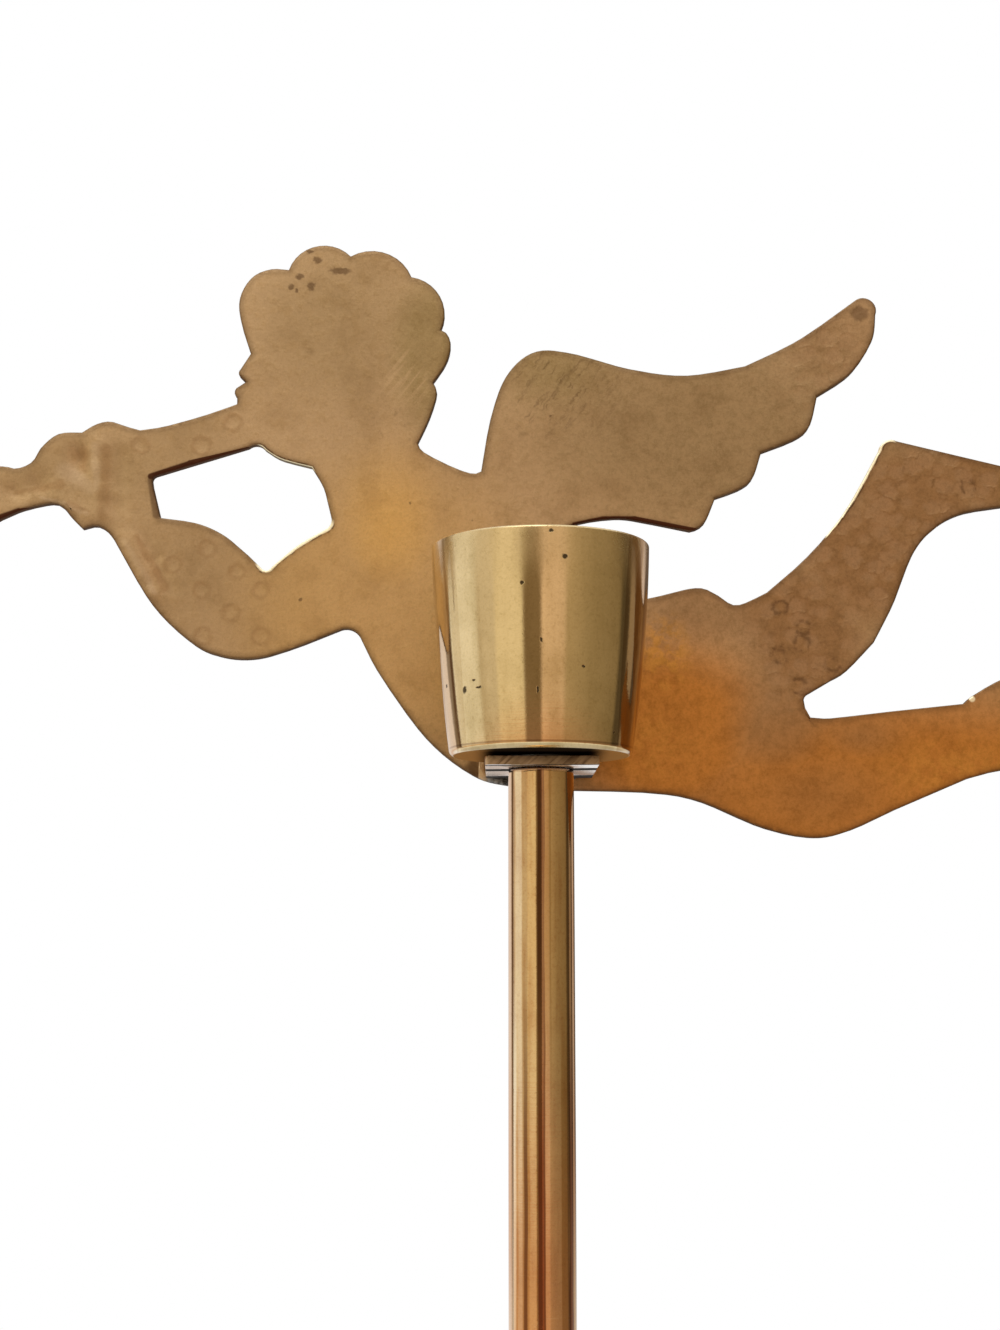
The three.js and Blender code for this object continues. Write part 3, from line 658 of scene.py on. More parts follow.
def sheet_finish(finishes):
    """Satin sheet brass with cloudy tarnish, hammer marks, creases, dark spots and browned edges, and painted
    reflections, highlights and shade in its colour.
    """
    graph = Graph("sheet_brass")
    place = graph.place()
    leg = patches(graph, place, HAMMERED_LEG)
    sheet_tarnish_and_painted_light(graph, place, leg, finishes)
    mottle = graph.band(graph.noise(place, 1.2, 4.0, 0.65), 0.4, 0.7)
    graph.dim(mottle, MOTTLE_SHADE)
    blotches = graph.band(graph.noise(place, 5, 4.0, 0.6), 0.45, 0.7) * (1 - leg)
    graph.dim(blotches * 0.6, BLOTCH_SHADE)
    hollows, ridges = hammered(graph, place, leg)
    graph.lay(hollows * 0.36, finishes.sheet_rosy)
    graph.lay(ridges * 0.12, finishes.sheet_dark)
    ragged = wandering(graph, place, 1.5, 0.9)
    rings = hammer_rings(graph, ragged, ARM_MARKS, 1.05)
    graph.lay(rings * 0.3, finishes.sheet_brown)
    dark_rings = hammer_rings(graph, ragged, LEG_RINGS, 0.95) * graph.band(graph.noise(place, 0.9), 0.36, 0.6)
    graph.lay(dark_rings * 0.5, finishes.sheet_dark)
    # Painted shade where the creases press the front in and in the folds, painted highlights where they stand
    # out and on the folds' backs
    relief = graph.painted("relief")
    graph.lay(graph.band(relief, 0.0, 0.9) * 0.5, finishes.sheet_brown)
    graph.lay(graph.band(-relief, 0.1, 0.9) * 0.6, finishes.sheet_rosy)
    graph.lay(strokes(graph, ragged, FOLD_HIGHLIGHTS, 1.0) * 0.32, finishes.fold_highlight)
    graph.lay(strokes(graph, ragged, FOLD_SHADE, 1.0) * 0.45, finishes.sheet_brown)
    grain = graph.noise(place, 0.4, 4.0, 0.8)
    graph.dim(graph.band(grain, 0.42, 0.64), SHEET_GRAIN_SHADE)
    brushed = graph.band(brushing(graph, place, -38, 0.5), 0.46, 0.64) * graph.patch(place, *BRUSHED_PATCH)
    graph.lay(brushed * 0.5, finishes.sheet)
    graph.lay(stains_and_bracket_shadow(graph, place), finishes.sheet_dark)
    edge = graph.band(abs(graph.facing("Y")), 0.85, 0.4)
    upper = edge * graph.band(graph.facing("Z"), 0.0, 0.5)
    graph.lay(upper * 0.75, finishes.sheet_dark)
    sheet_edges(graph, place, finishes)
    # Painted shade on edges that face down: darker, rougher and less metallic
    lower = edge * graph.band(graph.facing("Z"), 0.15, -0.25)
    graph.lay(lower * 0.85, finishes.sheet_dark)
    roughness = 0.33 + 0.1 * mottle + 0.12 * grain + 0.3 * lower
    height = 0.35 * grain + 0.3 * mottle + 0.35 * rings + 0.4 * ridges - 1.1 * hollows
    extra = {"Specular IOR Level": 0.15}
    return graph.shader(roughness, 1 - 0.9 * lower, height, 0.025, extra)


def stem_streaks(graph, place):
    """Painted reflections drawn out along the front of the stem, and a ring of painted shade at its top,
    under the bracket.
    """
    front = graph.band(-graph.axis(place, "Y"), -0.2, 0.5)
    across = graph.axis(wandering(graph, graph.stretched(place, 1, 1, 0.15), 2.0, 0.35), "X")
    low = graph.band(graph.axis(place, "Z"), -20, -48)
    for left, right, name, above, below in STEM_STREAKS:
        soft = CREAM_EDGE if name == "cream" else STREAK_EDGE
        streak = graph.band(across, left - soft, left + soft) * graph.band(across, right + soft, right - soft)
        graph.lay(streak * front * (low * (below - above) + above), STREAK_TONES[name])
    # Painted shade in a ring at the stem's top, in the gap under the bracket
    grime = graph.band(graph.axis(place, "Z"), -0.34, -0.2)
    graph.lay(grime * 0.9, STREAK_TONES["dark"])


def cup_streaks(graph, place):
    """Painted reflections drawn out along the cup's left and right edges, and a painted dark reflection line
    above its bottom corner.
    """
    front = graph.band(-graph.axis(place, "Y"), -2.5, -1.0)
    low, high = (CUP_LOW.z - STEM_TOP) / MM, (CUP_HIGH.z - STEM_TOP) / MM
    base, rim = CUP_BASE_SHARE * CUP_HIGH.x / MM, CUP_HIGH.x / MM
    radius = base + (graph.axis(place, "Z") - low) * ((rim - base) / (high - low))
    across = graph.axis(wandering(graph, graph.stretched(place, 1, 1, 0.1), 3.0, 0.3), "X")
    share, soft = across / radius, CUP_STREAK_EDGE
    for left, right, name, strength in CUP_STREAKS:
        streak = graph.band(share, left - soft, left + soft) * graph.band(share, right + soft, right - soft)
        graph.lay(streak * front * strength, STREAK_TONES[name])
    # A painted dark reflection line where the cup's side turns into its bottom corner
    foot = graph.band(abs(graph.axis(place, "Z") - low - 0.8), 0.16, 0.06)
    graph.lay(foot * 0.5, STREAK_TONES["dark"])


def turned_finish(finishes, name, tones, roughness, streak, dull_from=None, marks=(), streaks=None):
    """Polished brass from the lathe, with faint tarnish, pits and turning lines, the painted reflections that
    streaks lays, and painted shade on faces that look down.
    """
    graph = Graph(name)
    place = graph.place()
    clouds = graph.band(graph.noise(place, 7, 3.0, 0.6), 0.4, 0.75)
    drawn = graph.noise(graph.stretched(place, 1.0, 1.0, 0.06), streak, 3.0)
    speckle = graph.band(graph.noise(place, 0.5, 3.0, 0.7), 0.5, 0.7)
    worn = (clouds * 0.5 + graph.band(drawn, 0.42, 0.7) * 0.5 + speckle * 0.35).clamped()
    graph.tone = graph.mix(worn, *tones)
    if streaks:
        streaks(graph, place)
    pits = graph.band(graph.cells(place, 4.5), 0.06, 0.03) * graph.band(graph.noise(place, 8), 0.52, 0.56)
    if marks:
        front = graph.band(-graph.axis(place, "Y"), 0.0, 1.0)
        pits = pits | spots(graph, wandering(graph, place, 0.4, 0.35), marks) * front
    grain = graph.band(graph.noise(place, 0.3, 4.0, 0.8), 0.4, 0.66)
    graph.dim(grain, TURNED_GRAIN_SHADE)
    # Painted shade on faces that look down, such as the cup's underside: black in the middle, brown further
    # out, rough and not metal
    under = graph.band(-graph.facing("Z"), 0.9, 0.99)
    outside = graph.band(abs(graph.axis(place, "X")), 5.5, 8.5)
    graph.lay(under, graph.mix(outside, finishes.painted_shade, finishes.underside_shade))
    graph.lay(pits * 0.9, finishes.pit)
    lines = graph.noise(graph.stretched(place, 0.12, 0.12, 6.0), 1.0, 2.0)
    rough = roughness + 0.06 * worn + 0.25 * pits + 0.5 * under
    if dull_from is not None:
        rough = rough + 0.2 * graph.band(graph.axis(place, "Z"), *dull_from)
    waver = graph.noise(graph.stretched(place, 1.0, 1.0, 0.4), 5.0, 1.0)
    height = lines + 0.3 * speckle + 6.0 * waver - 3.0 * pits
    lacquer = {"Coat Weight": 0.6 - 0.6 * (pits | under), "Coat Roughness": 0.06, "Specular IOR Level": 0.0}
    return graph.shader(rough, 1 - under, height, 0.004, lacquer)


def bracket_finish(finishes):
    """Tarnished strip with a rough sawn front edge and a tinned underside, with black seams and painted shade
    over its back part.
    """
    graph = Graph("bracket_brass")
    place = graph.place()
    cloud = graph.noise(place, 3.0, 3.0)
    graph.tone = graph.mix(graph.band(cloud, 0.4, 0.7), finishes.sheet, finishes.sheet_dull)
    saw = brushing(graph, place, -48, 0.5)
    front = graph.band(-graph.facing("Y"), 0.5, 0.9)
    grime = graph.band(saw, 0.42, 0.7) | graph.band(graph.noise(place, 1.4, 3.0), 0.5, 0.75)
    graph.lay(front * (0.25 + 0.6 * grime), finishes.sheet_dark)
    under = graph.band(-graph.facing("Z"), 0.6, 0.9)
    graph.lay(under, finishes.tin)
    # Black seams across the tin, and painted shade over the back of the underside
    back = graph.axis(wandering(graph, place, 4.0, 3.0), "X") * 0.12 + graph.axis(place, "Y")
    seams_and_shade = graph.band(abs(back - 0.2), 1.8, 1.3) | graph.band(abs(back + 6.1), 0.7, 0.4)
    seams_and_shade = seams_and_shade | graph.band(back, 8.0, 8.8)
    graph.lay(under * seams_and_shade, finishes.seam)
    roughness = 0.3 + 0.3 * front - 0.14 * under + 0.1 * cloud + 0.5 * under * seams_and_shade
    metal, extra = 1 - under * seams_and_shade, {"Specular IOR Level": 0.15}
    return graph.shader(roughness, metal, saw * front + 0.2 * cloud, 0.08, extra)


def solder_finish(finishes):
    """Dull grey solder with darker hollows, brown with flux at the left."""
    graph = Graph("solder")
    place = graph.place()
    lumps = graph.noise(place, 0.9, 4.0, 0.65)
    dark = tuple(0.1 * part for part in finishes.solder)
    graph.tone = graph.mix(graph.band(lumps, 0.38, 0.62), dark, finishes.solder)
    flux = graph.band(graph.axis(place, "X"), -6.3, -7.3)
    graph.lay(flux * 0.85, finishes.sheet)
    return graph.shader(0.3 + 0.3 * lumps, height=lumps, depth=0.2)


def steel_finish(finishes, name="plated_steel", shine=1.0):
    """Plated steel with fine turning lines and dull patches."""
    graph = Graph(name)
    place = graph.place()
    lines = graph.noise(graph.stretched(place, 0.3, 0.3, 5.0), 1.0, 2.0)
    dull = graph.band(graph.noise(place, 2.0, 3.0), 0.45, 0.75)
    plating = tuple(shine * part for part in finishes.steel)
    graph.tone = graph.mix(dull * 0.5, plating, tuple(0.5 * part for part in plating))
    return graph.shader(0.26 + 0.15 * dull, height=lines, depth=0.008)


def iron_finish(finishes):
    """Rough sand-cast iron with a little rust."""
    graph = Graph("cast_iron")
    place = graph.place()
    sand = graph.noise(place, 0.8, 4.0, 0.65)
    rust = graph.band(graph.noise(place, 9, 3.0), 0.55, 0.75)
    graph.tone = graph.mix(rust * 0.6, finishes.iron, finishes.rust)
    return graph.shader(0.6 + 0.2 * sand, metallic=0.6, height=sand, depth=0.2)


def felt_finish(finishes):
    """Pressed felt: short tangled fibres in a mottled green."""
    graph = Graph("pressed_felt")
    place = graph.place()
    fibres = graph.noise(place, 0.35, 4.0, 0.7, 2.0)
    mottle = graph.noise(place, 3.5, 3.0)
    light = tuple(min(1.0, 2.2 * part) for part in finishes.felt)
    graph.tone = graph.mix((0.6 * fibres + 0.4 * mottle).clamped(), finishes.felt, light)
    extra = {"Sheen Weight": 0.3, "Sheen Roughness": 0.5}
    return graph.shader(0.92 - 0.04 * fibres, metallic=0.0, height=fibres, depth=0.12, extra=extra)


# Modelling steps


def put_down():
    """Leaves any open piece, with nothing selected."""
    if bpy.context.object and bpy.context.object.mode != "OBJECT":
        bpy.ops.object.mode_set(mode="OBJECT")
    bpy.ops.object.select_all(action="DESELECT")


def take_up(piece):
    """Opens a piece for shaping, with all of it selected."""
    put_down()
    piece.select_set(True)
    bpy.context.view_layer.objects.active = piece
    bpy.ops.object.mode_set(mode="EDIT")
    bpy.ops.mesh.select_mode(type="VERT")
    bpy.ops.mesh.select_all(action="SELECT")


def settle(piece):
    """Closes a piece, keeps its place in its mesh and leaves only it selected."""
    if piece.mode != "OBJECT":
        bpy.ops.object.mode_set(mode="OBJECT")
    bpy.ops.object.select_all(action="DESELECT")
    piece.select_set(True)
    bpy.context.view_layer.objects.active = piece
    bpy.ops.object.transform_apply(location=True, rotation=True, scale=True)


def modified(piece, kind, **settings):
    """Adds a modifier and applies it."""
    settle(piece)
    made = piece.modifiers.new(kind.title(), kind)
    for name, value in settings.items():
        setattr(made, name, value)
    bpy.ops.object.modifier_apply(modifier=made.name)


def softened(piece, width, segments=3, angle=30):
    """Rounds every edge that is sharper than the angle."""
    modified(
        piece,
        "BEVEL",
        width=width,
        segments=segments,
        limit_method="ANGLE",
        angle_limit=math.radians(angle),
        use_clamp_overlap=True,
        miter_outer="MITER_ARC",
    )
    modified(piece, "WELD", merge_threshold=SLIVER)


def copy_of(node, name):
    """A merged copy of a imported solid, its flat faces in one piece each."""
    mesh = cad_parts[node].data.copy()
    mesh.name = name
    mesh.materials.clear()
    piece = bpy.data.objects.new(name, mesh)
    bpy.context.scene.collection.objects.link(piece)
    take_up(piece)
    bpy.ops.mesh.customdata_custom_splitnormals_clear()
    bpy.ops.mesh.remove_doubles(threshold=MERGE)
    bpy.ops.mesh.dissolve_limited(angle_limit=FLAT_ANGLE)
    settle(piece)
    return piece


def arc(start, end, rise, steps):
    """Places on a round stretch that stands rise proud of its chord, on the left of the way it runs."""
    start, end = Vector(start), Vector(end)
    chord = end - start
    turn = 2 * math.atan2(2 * rise, chord.length)
    places = []
    for step in range(1, steps + 1):
        share = step / steps
        swing = turn * (1 - share)
        reach = chord.length * math.sin(turn * share) / math.sin(turn)
        heading = math.atan2(chord.y, chord.x) + swing
        places.append((start.x + reach * math.cos(heading), start.y + reach * math.sin(heading)))
    return places


def turned(name, profile, sides):
    """Raises ring after ring from a circle, one for each radius and height, as on a lathe."""
    put_down()
    radius, height = profile[0]
    bpy.ops.mesh.primitive_circle_add(vertices=sides, radius=radius, location=(0, 0, height))
    piece = bpy.context.object
    piece.name = name
    take_up(piece)
    for next_radius, next_height in profile[1:]:
        bpy.ops.mesh.extrude_region_move(TRANSFORM_OT_translate={"value": (0, 0, next_height - height)})
        share = next_radius / radius
        bpy.ops.transform.resize(value=(share, share, 1), center_override=(0, 0, next_height))
        radius, height = next_radius, next_height
    bpy.ops.mesh.select_all(action="SELECT")
    bpy.ops.mesh.remove_doubles(threshold=MERGE)
    bpy.ops.mesh.normals_make_consistent(inside=False)
    settle(piece)
    return piece


def choose(piece, vertices=(), edges=(), faces=()):
    """Selects vertices, edges or faces of a piece by number and opens it."""
    put_down()
    mesh = piece.data
    for parts, chosen in ((mesh.vertices, vertices), (mesh.edges, edges), (mesh.polygons, faces)):
        parts.foreach_set("select", [False] * len(parts))
        for number in chosen:
            parts[number].select = True
    piece.select_set(True)
    bpy.context.view_layer.objects.active = piece
    kind = "VERT" if vertices else "EDGE" if edges else "FACE"
    bpy.context.tool_settings.mesh_select_mode = (kind == "VERT", kind == "EDGE", kind == "FACE")
    bpy.ops.object.mode_set(mode="EDIT")


def pull(piece, target, way, radius):
    """Pulls the place nearest to the target, and what lies round it within the radius."""
    nearest = min(piece.data.vertices, key=lambda vertex: (vertex.co - target).length_squared)
    choose(piece, vertices=[nearest.index])
    bpy.ops.transform.translate(
        value=way,
        use_proportional_edit=True,
        proportional_edit_falloff="SMOOTH",
        proportional_size=radius,
    )
    put_down()


def finish_piece(piece, body, slot, material, *nodes):
    """Smooths a piece, gives it its finish and sets it on its body in place of its solids."""
    settle(piece)
    bpy.ops.object.shade_smooth_by_angle(angle=SMOOTH_ANGLE)
    piece.data.materials.clear()
    piece.data.materials.append(material)
    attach(piece, body)
    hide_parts(*nodes)


# Pieces


def sawn_edges(mesh):
    """The edges where the flat front or back of a plate ends."""
    uses = {}
    for face in mesh.polygons:
        if abs(face.normal.y) > FLAT:
            for key in face.edge_keys:
                uses[key] = uses.get(key, 0) + 1
    return [edge.index for edge in mesh.edges if uses.get(edge.key) == 1]


def divide(piece, low, high, cell):
    """Cuts a plate into square cells."""
    take_up(piece)
    for axis in (0, 2):
        count = math.ceil((high[axis] - low[axis]) / cell)
        for step in range(1, count):
            middle = Vector((0, 0, 0))
            way = Vector((0, 0, 0))
            middle[axis] = low[axis] + step * (high[axis] - low[axis]) / count
            way[axis] = 1
            bpy.ops.mesh.select_all(action="SELECT")
            bpy.ops.mesh.bisect(plane_co=middle, plane_no=way)
    settle(piece)


def refine(piece, marks, reach):
    """Divides the front's cells again round the marks."""
    centres = [Vector((x * MM, FIGURE_LOW.y, STEM_TOP + z * MM)) for x, z in marks]
    faces = [
        face.index
        for face in piece.data.polygons
        if len(face.vertices) == 4
        and face.normal.y < -NEARLY_FLAT
        and min((face.center - centre).length for centre in centres) < reach
    ]
    choose(piece, faces=faces)
    bpy.ops.mesh.subdivide(number_cuts=MARK_CUTS)
    settle(piece)


def strip_along_edge(piece, width):
    """Lays a narrow strip of cells along the sawn edge, on the front and on the back."""
    choose(piece, faces=[face.index for face in piece.data.polygons if abs(face.normal.y) > FLAT])
    bpy.ops.mesh.inset(thickness=width, use_even_offset=True, use_boundary=True)
    settle(piece)


def paint_rim(piece, width):
    """Stores how near each place lies to the sawn edge, and how far that edge faces down."""
    mesh = piece.data
    ways = {}
    for face in mesh.polygons:
        if abs(face.normal.y) < NEARLY_FLAT:
            for number in face.vertices:
                ways[number] = ways.get(number, Vector((0, 0, 0))) + Vector((face.normal.x, 0, face.normal.z))
    tree = kdtree.KDTree(len(ways))
    for number in ways:
        tree.insert(mesh.vertices[number].co, number)
    tree.balance()
    rim, under = [], []
    for vertex in mesh.vertices:
        _, number, distance = tree.find(vertex.co)
        near = max(0, 1 - distance / width)
        rim.append(near)
        under.append(near * max(0, min(1, -UNDERSIDE_GAIN * ways[number].normalized().z)))
    for name, values in (("rim", rim), ("under", under)):
        mesh.attributes.new(name, "FLOAT", "POINT").data.foreach_set("value", values)


def paint_relief(piece, height):
    """Stores how far each place of the front is pressed in, as a share of height."""
    mesh = piece.data
    limit = FIGURE_LOW.y + 0.5 * (FIGURE_HIGH.y - FIGURE_LOW.y)
    front = {number for face in mesh.polygons if face.normal.y < -LEANING for number in face.vertices}
    relief = [
        (vertex.co.y - FIGURE_LOW.y) / height if vertex.index in front and vertex.co.y < limit else 0
        for vertex in mesh.vertices
    ]
    mesh.attributes.new("relief", "FLOAT", "POINT").data.foreach_set("value", relief)


def press(piece, x, z, depth, radius):
    """Presses the front of the plate in by depth round a place, or out where depth is below zero."""
    pull(piece, Vector((x * MM, FIGURE_LOW.y, STEM_TOP + z * MM)), (0, depth, 0), radius)


def angel_figure(sizes):
    """The sawn sheet: rounded edges, a little out of flat, with hammer marks and creases."""
    piece = copy_of("angel_figure", "angel")
    choose(piece, edges=sawn_edges(piece.data))
    bpy.ops.mesh.bevel(offset=sizes.sheet_edge, segments=3, affect="EDGES", clamp_overlap=False)
    settle(piece)
    strip_along_edge(piece, sizes.sheet_inset)
    divide(piece, FIGURE_LOW, FIGURE_HIGH, sizes.sheet_cell)
    marks = (*ARM_MARKS, *LEG_MARKS, *WING_MARKS)
    refine(piece, marks, MARK_REACH * sizes.mark_radius)
    paint_rim(piece, sizes.sheet_rim)
    for x, z in marks:
        press(piece, x, z, sizes.mark_depth, sizes.mark_radius)
    for start, end, share in CREASES:
        for step in range(CREASE_STEPS + 1):
            x, z = Vector(start).lerp(Vector(end), step / CREASE_STEPS)
            press(piece, x, z, share * sizes.crease_height, sizes.crease_radius)
    paint_relief(piece, sizes.crease_height)
    waves = bpy.data.textures.new("sheet_waves", "CLOUDS")
    waves.noise_scale = sizes.sheet_wavelength
    settings = {"texture_coords": "LOCAL", "direction": "Y", "strength": sizes.sheet_wave}
    modified(piece, "DISPLACE", texture=waves, **settings)
    return piece


def figure_bracket(sizes):
    """The bent strip, with the front left corner of its foot filed round."""
    piece = copy_of("figure_bracket", "bracket")
    places = [vertex.co for vertex in piece.data.vertices]
    left, front = min(place.x for place in places), min(place.y for place in places)
    at_corner = [place.x < left + TOUCH and place.y < front + TOUCH for place in places]
    corner = [edge.index for edge in piece.data.edges if all(at_corner[end] for end in edge.vertices)]
    choose(piece, edges=corner)
    bpy.ops.mesh.bevel(offset=sizes.bracket_corner, segments=4, affect="EDGES")
    settle(piece)
    softened(piece, sizes.bracket_edge, segments=2)
    return piece


def bracket_solder(sizes):
    """The solder run out round the bracket's leg, lumpy and soft."""
    piece = copy_of("bracket_solder", "solder_run")
    modified(piece, "REMESH", mode="VOXEL", voxel_size=sizes.solder_cell)
    modified(piece, "SMOOTH", **SOLDER_SMOOTHING)
    corner = Vector((SOLDER_HIGH.x, SOLDER_LOW.y, SOLDER_LOW.z))
    pull(piece, corner, Vector(SOLDER_PULL) * MM, sizes.solder_reach)
    lumps = bpy.data.textures.new("solder_lumps", "CLOUDS")
    lumps.noise_scale = sizes.solder_grain
    modified(piece, "DISPLACE", texture=lumps, texture_coords="LOCAL", strength=sizes.solder_lump)
    return piece


def candle_cup(sizes):
    """A tapered cup with a rounded foot, a soft lip and a hole in its floor."""
    base, rim = sizes.cup_base, CUP_HIGH.x
    wall, hole = sizes.cup_wall, sizes.rod_hole
    low, high = CUP_LOW.z, CUP_HIGH.z
    slope = (rim - base) / (high - low)
    corner, lip = sizes.cup_corner, sizes.cup_lip
    floor = low + sizes.cup_floor
    inner = base + slope * sizes.cup_floor - wall
    profile = [(hole, low), (base - corner, low)]
    profile += arc(profile[-1], (base + slope * corner, low + corner), -corner * QUARTER_RISE, CORNER_STEPS)
    profile += arc(profile[-1], (rim, high - lip), -sizes.cup_swell, SIDE_STEPS)
    profile += arc(profile[-1], (rim - lip, high), -lip * QUARTER_RISE, LIP_STEPS)
    profile += [(rim - wall + lip, high)]
    profile += arc(profile[-1], (rim - wall, high - lip), -lip * QUARTER_RISE, LIP_STEPS)
    profile += arc(profile[-1], (inner + corner * slope, floor + corner), sizes.cup_swell, SIDE_STEPS)
    profile += arc(profile[-1], (inner - corner, floor), corner * QUARTER_RISE, INNER_CORNER_STEPS)
    profile += [(hole, floor), (hole, low)]
    return turned("cup", profile, sizes.round_sides)


def stem_tube(sizes):
    """A plain tube with softly broken ends."""
    outer, inner = STEM_HIGH.x, STEM_HIGH.x - sizes.stem_wall
    low, high = STEM_LOW.z, STEM_HIGH.z
    guard = 2 * sizes.stem_edge
    profile = [(inner, low), (outer, low), (outer, low + guard), (outer, high - guard), (outer, high)]
    profile += [(inner, high), (inner, high - guard), (inner, low + guard), (inner, low)]
    piece = turned("stem", profile, sizes.slim_sides)
    softened(piece, sizes.stem_edge)
    return piece


def tie_rod(sizes):
    """Rod with a rolled thread from end to end."""
    put_down()
    outer, core, pitch = ROD_HIGH.x, sizes.rod_core, sizes.rod_pitch
    bpy.ops.mesh.primitive_circle_add(vertices=3, radius=outer)
    piece = bpy.context.object
    piece.name = "threaded_rod"
    groove = ((core, 0), (outer, 0.5 * pitch), (core, pitch))
    for vertex, (radius, height) in zip(piece.data.vertices, groove):
        vertex.co = (radius, 0, ROD_LOW.z - pitch + height)
    choose(piece, edges=[edge.index for edge in piece.data.edges if set(edge.vertices) == {0, 2}])
    bpy.ops.mesh.delete(type="EDGE")
    turns = math.ceil((ROD_HIGH.z - ROD_LOW.z) / pitch) + SPARE_TURNS
    steps = sizes.rod_steps
    settings = {"screw_offset": pitch, "iterations": turns, "use_merge_vertices": True}
    modified(piece, "SCREW", steps=steps, render_steps=steps, **settings)
    for height, way in ((ROD_HIGH.z, 1), (ROD_LOW.z, -1)):
        take_up(piece)
        bpy.ops.mesh.remove_doubles(threshold=MERGE)
        bpy.ops.mesh.bisect(plane_co=(0, 0, height), plane_no=(0, 0, way), use_fill=True, clear_outer=True)
    take_up(piece)
    bpy.ops.mesh.normals_make_consistent(inside=False)
    settle(piece)
    return piece


def foot_shell(sizes):
    """A spun dome with a band round its edge and a seat for the stem."""
    radius, wall = SHELL_HIGH.x, sizes.foot_wall
    low, high = SHELL_LOW.z, SHELL_HIGH.z
    band = low + sizes.foot_rim
    edge = sizes.foot_rim_round
    shoulder = band - edge
    boss_foot = sizes.boss_radius + sizes.boss_rise
    dome = high - sizes.boss_rise
    profile = [(sizes.rod_hole, high - wall), (sizes.boss_radius, high - wall), (boss_foot, dome - wall)]
    profile += arc(profile[-1], (radius - wall, shoulder), sizes.foot_crown, INNER_DOME_STEPS)
    profile += [(radius - wall, low), (radius, low), (radius, shoulder)]
    profile += arc(profile[-1], (radius - edge, band), -edge * QUARTER_RISE, CORNER_STEPS)
    profile += arc(profile[-1], (boss_foot, dome), -sizes.foot_crown, SIDE_STEPS)
    profile += arc(profile[-1], (sizes.boss_radius, high), sizes.boss_rise * BOSS_HOLLOW, CORNER_STEPS)
    profile += [(sizes.rod_hole, high), (sizes.rod_hole, high - wall)]
    return turned("foot_dome", profile, sizes.round_sides)


def foot_felt(sizes):
    """A cut disc of felt with a soft edge."""
    low, high = FELT_LOW.z, FELT_HIGH.z
    put_down()
    bpy.ops.mesh.primitive_circle_add(
        vertices=sizes.round_sides, radius=FELT_HIGH.x, location=(0, 0, low), fill_type="NGON"
    )
    piece = bpy.context.object
    piece.name = "felt_pad"
    take_up(piece)
    bpy.ops.mesh.extrude_region_move(TRANSFORM_OT_translate={"value": (0, 0, high - low)})
    bpy.ops.mesh.select_all(action="SELECT")
    bpy.ops.mesh.normals_make_consistent(inside=False)
    softened(piece, sizes.felt_edge, segments=4, angle=60)
    return piece


# Stage

# The tones of the wall round the object: from the front, degrees to the right, and a colour
WALL_TONES = (
    (-180, (0.46, 0.36, 0.28)),
    (-166, (0.82, 0.70, 0.62)),
    (-132, (0.84, 0.72, 0.64)),
    (-129, (0.32, 0.25, 0.19)),
    (-123, (0.28, 0.21, 0.15)),
    (-121, (0.14, 0.08, 0.05)),
    (-117, (0.18, 0.12, 0.08)),
    (-115.5, (0.94, 0.92, 0.88)),
    (-76, (0.94, 0.92, 0.88)),
    (-71, (0.72, 0.64, 0.53)),
    (-53, (0.73, 0.65, 0.53)),
    (-49, (0.88, 0.78, 0.60)),
    (-21.5, (0.88, 0.78, 0.60)),
    (-18, (0.25, 0.175, 0.10)),
    (-2, (0.25, 0.175, 0.10)),
    (1, (0.84, 0.64, 0.49)),
    (23, (0.76, 0.58, 0.44)),
    (28, (0.50, 0.39, 0.25)),
    (52, (0.36, 0.28, 0.17)),
    (92, (0.27, 0.205, 0.12)),
    (97, (0.10, 0.075, 0.045)),
    (108, (0.11, 0.08, 0.05)),
    (111, (0.44, 0.35, 0.26)),
    (121, (0.42, 0.33, 0.25)),
    (124, (0.10, 0.07, 0.045)),
    (129, (0.13, 0.09, 0.06)),
    (132, (0.72, 0.58, 0.50)),
    (142, (0.68, 0.54, 0.46)),
    (147, (0.14, 0.10, 0.07)),
    (170, (0.18, 0.13, 0.09)),
    (180, (0.46, 0.36, 0.28)),
)
LOW_TINT = (0.91, 0.62, 0.43)  # warmer and darker towards the floor
LOW_HAZE = (0.59, 0.40, 0.32)  # and softer
FOOT_TONE = (0.93, 0.90, 0.86)  # pale again at the wall's foot
# Heights between which the wall changes, in metres over the stem's top, and degrees where the back begins
LOW_FROM_TO = (-0.07, -0.24)
FOOT_FROM_TO = (-0.25, -0.33)
FOOT_BEHIND = (-0.12, -0.3)
BEHIND_FROM_TO = (100, 137)
FLOOR_SIDES = 96
WALL_SIDES = 128
FLOOR_TONE = (0.86, 0.86, 0.86)
FLOOR_FADE = (0.4, 0.95)  # shares of the floor's radius
LAMP_PLACE = Vector((-0.2, -0.7, 1.1))
LAMP_AIM = Vector((0, 0, 0.2))
LAMP_SIZE = 0.8
SENSOR_WIDTH = 36
NEAREST_SEEN = 0.01


def seen_straight(graph):
    """1 for what the camera sees, straight or in metal and glass."""
    rays = ("Is Camera Ray", "Is Glossy Ray", "Is Transmission Ray")
    return strongest(graph.node("LightPath", output=ray) for ray in rays)


def white_world(stage):
    """White all round for the camera and in the metal, and an even fill light."""
    world = bpy.data.worlds.new("white_studio")
    world.use_nodes = True
    bpy.context.scene.world = world
    graph = Graph("white_studio", world.node_tree)
    level = stage.fill + (1 - stage.fill) * seen_straight(graph)
    background = graph.node("Background", None, {"Color": solid((1, 1, 1)), "Strength": level})
    graph.node("OutputWorld", None, {"Surface": background})


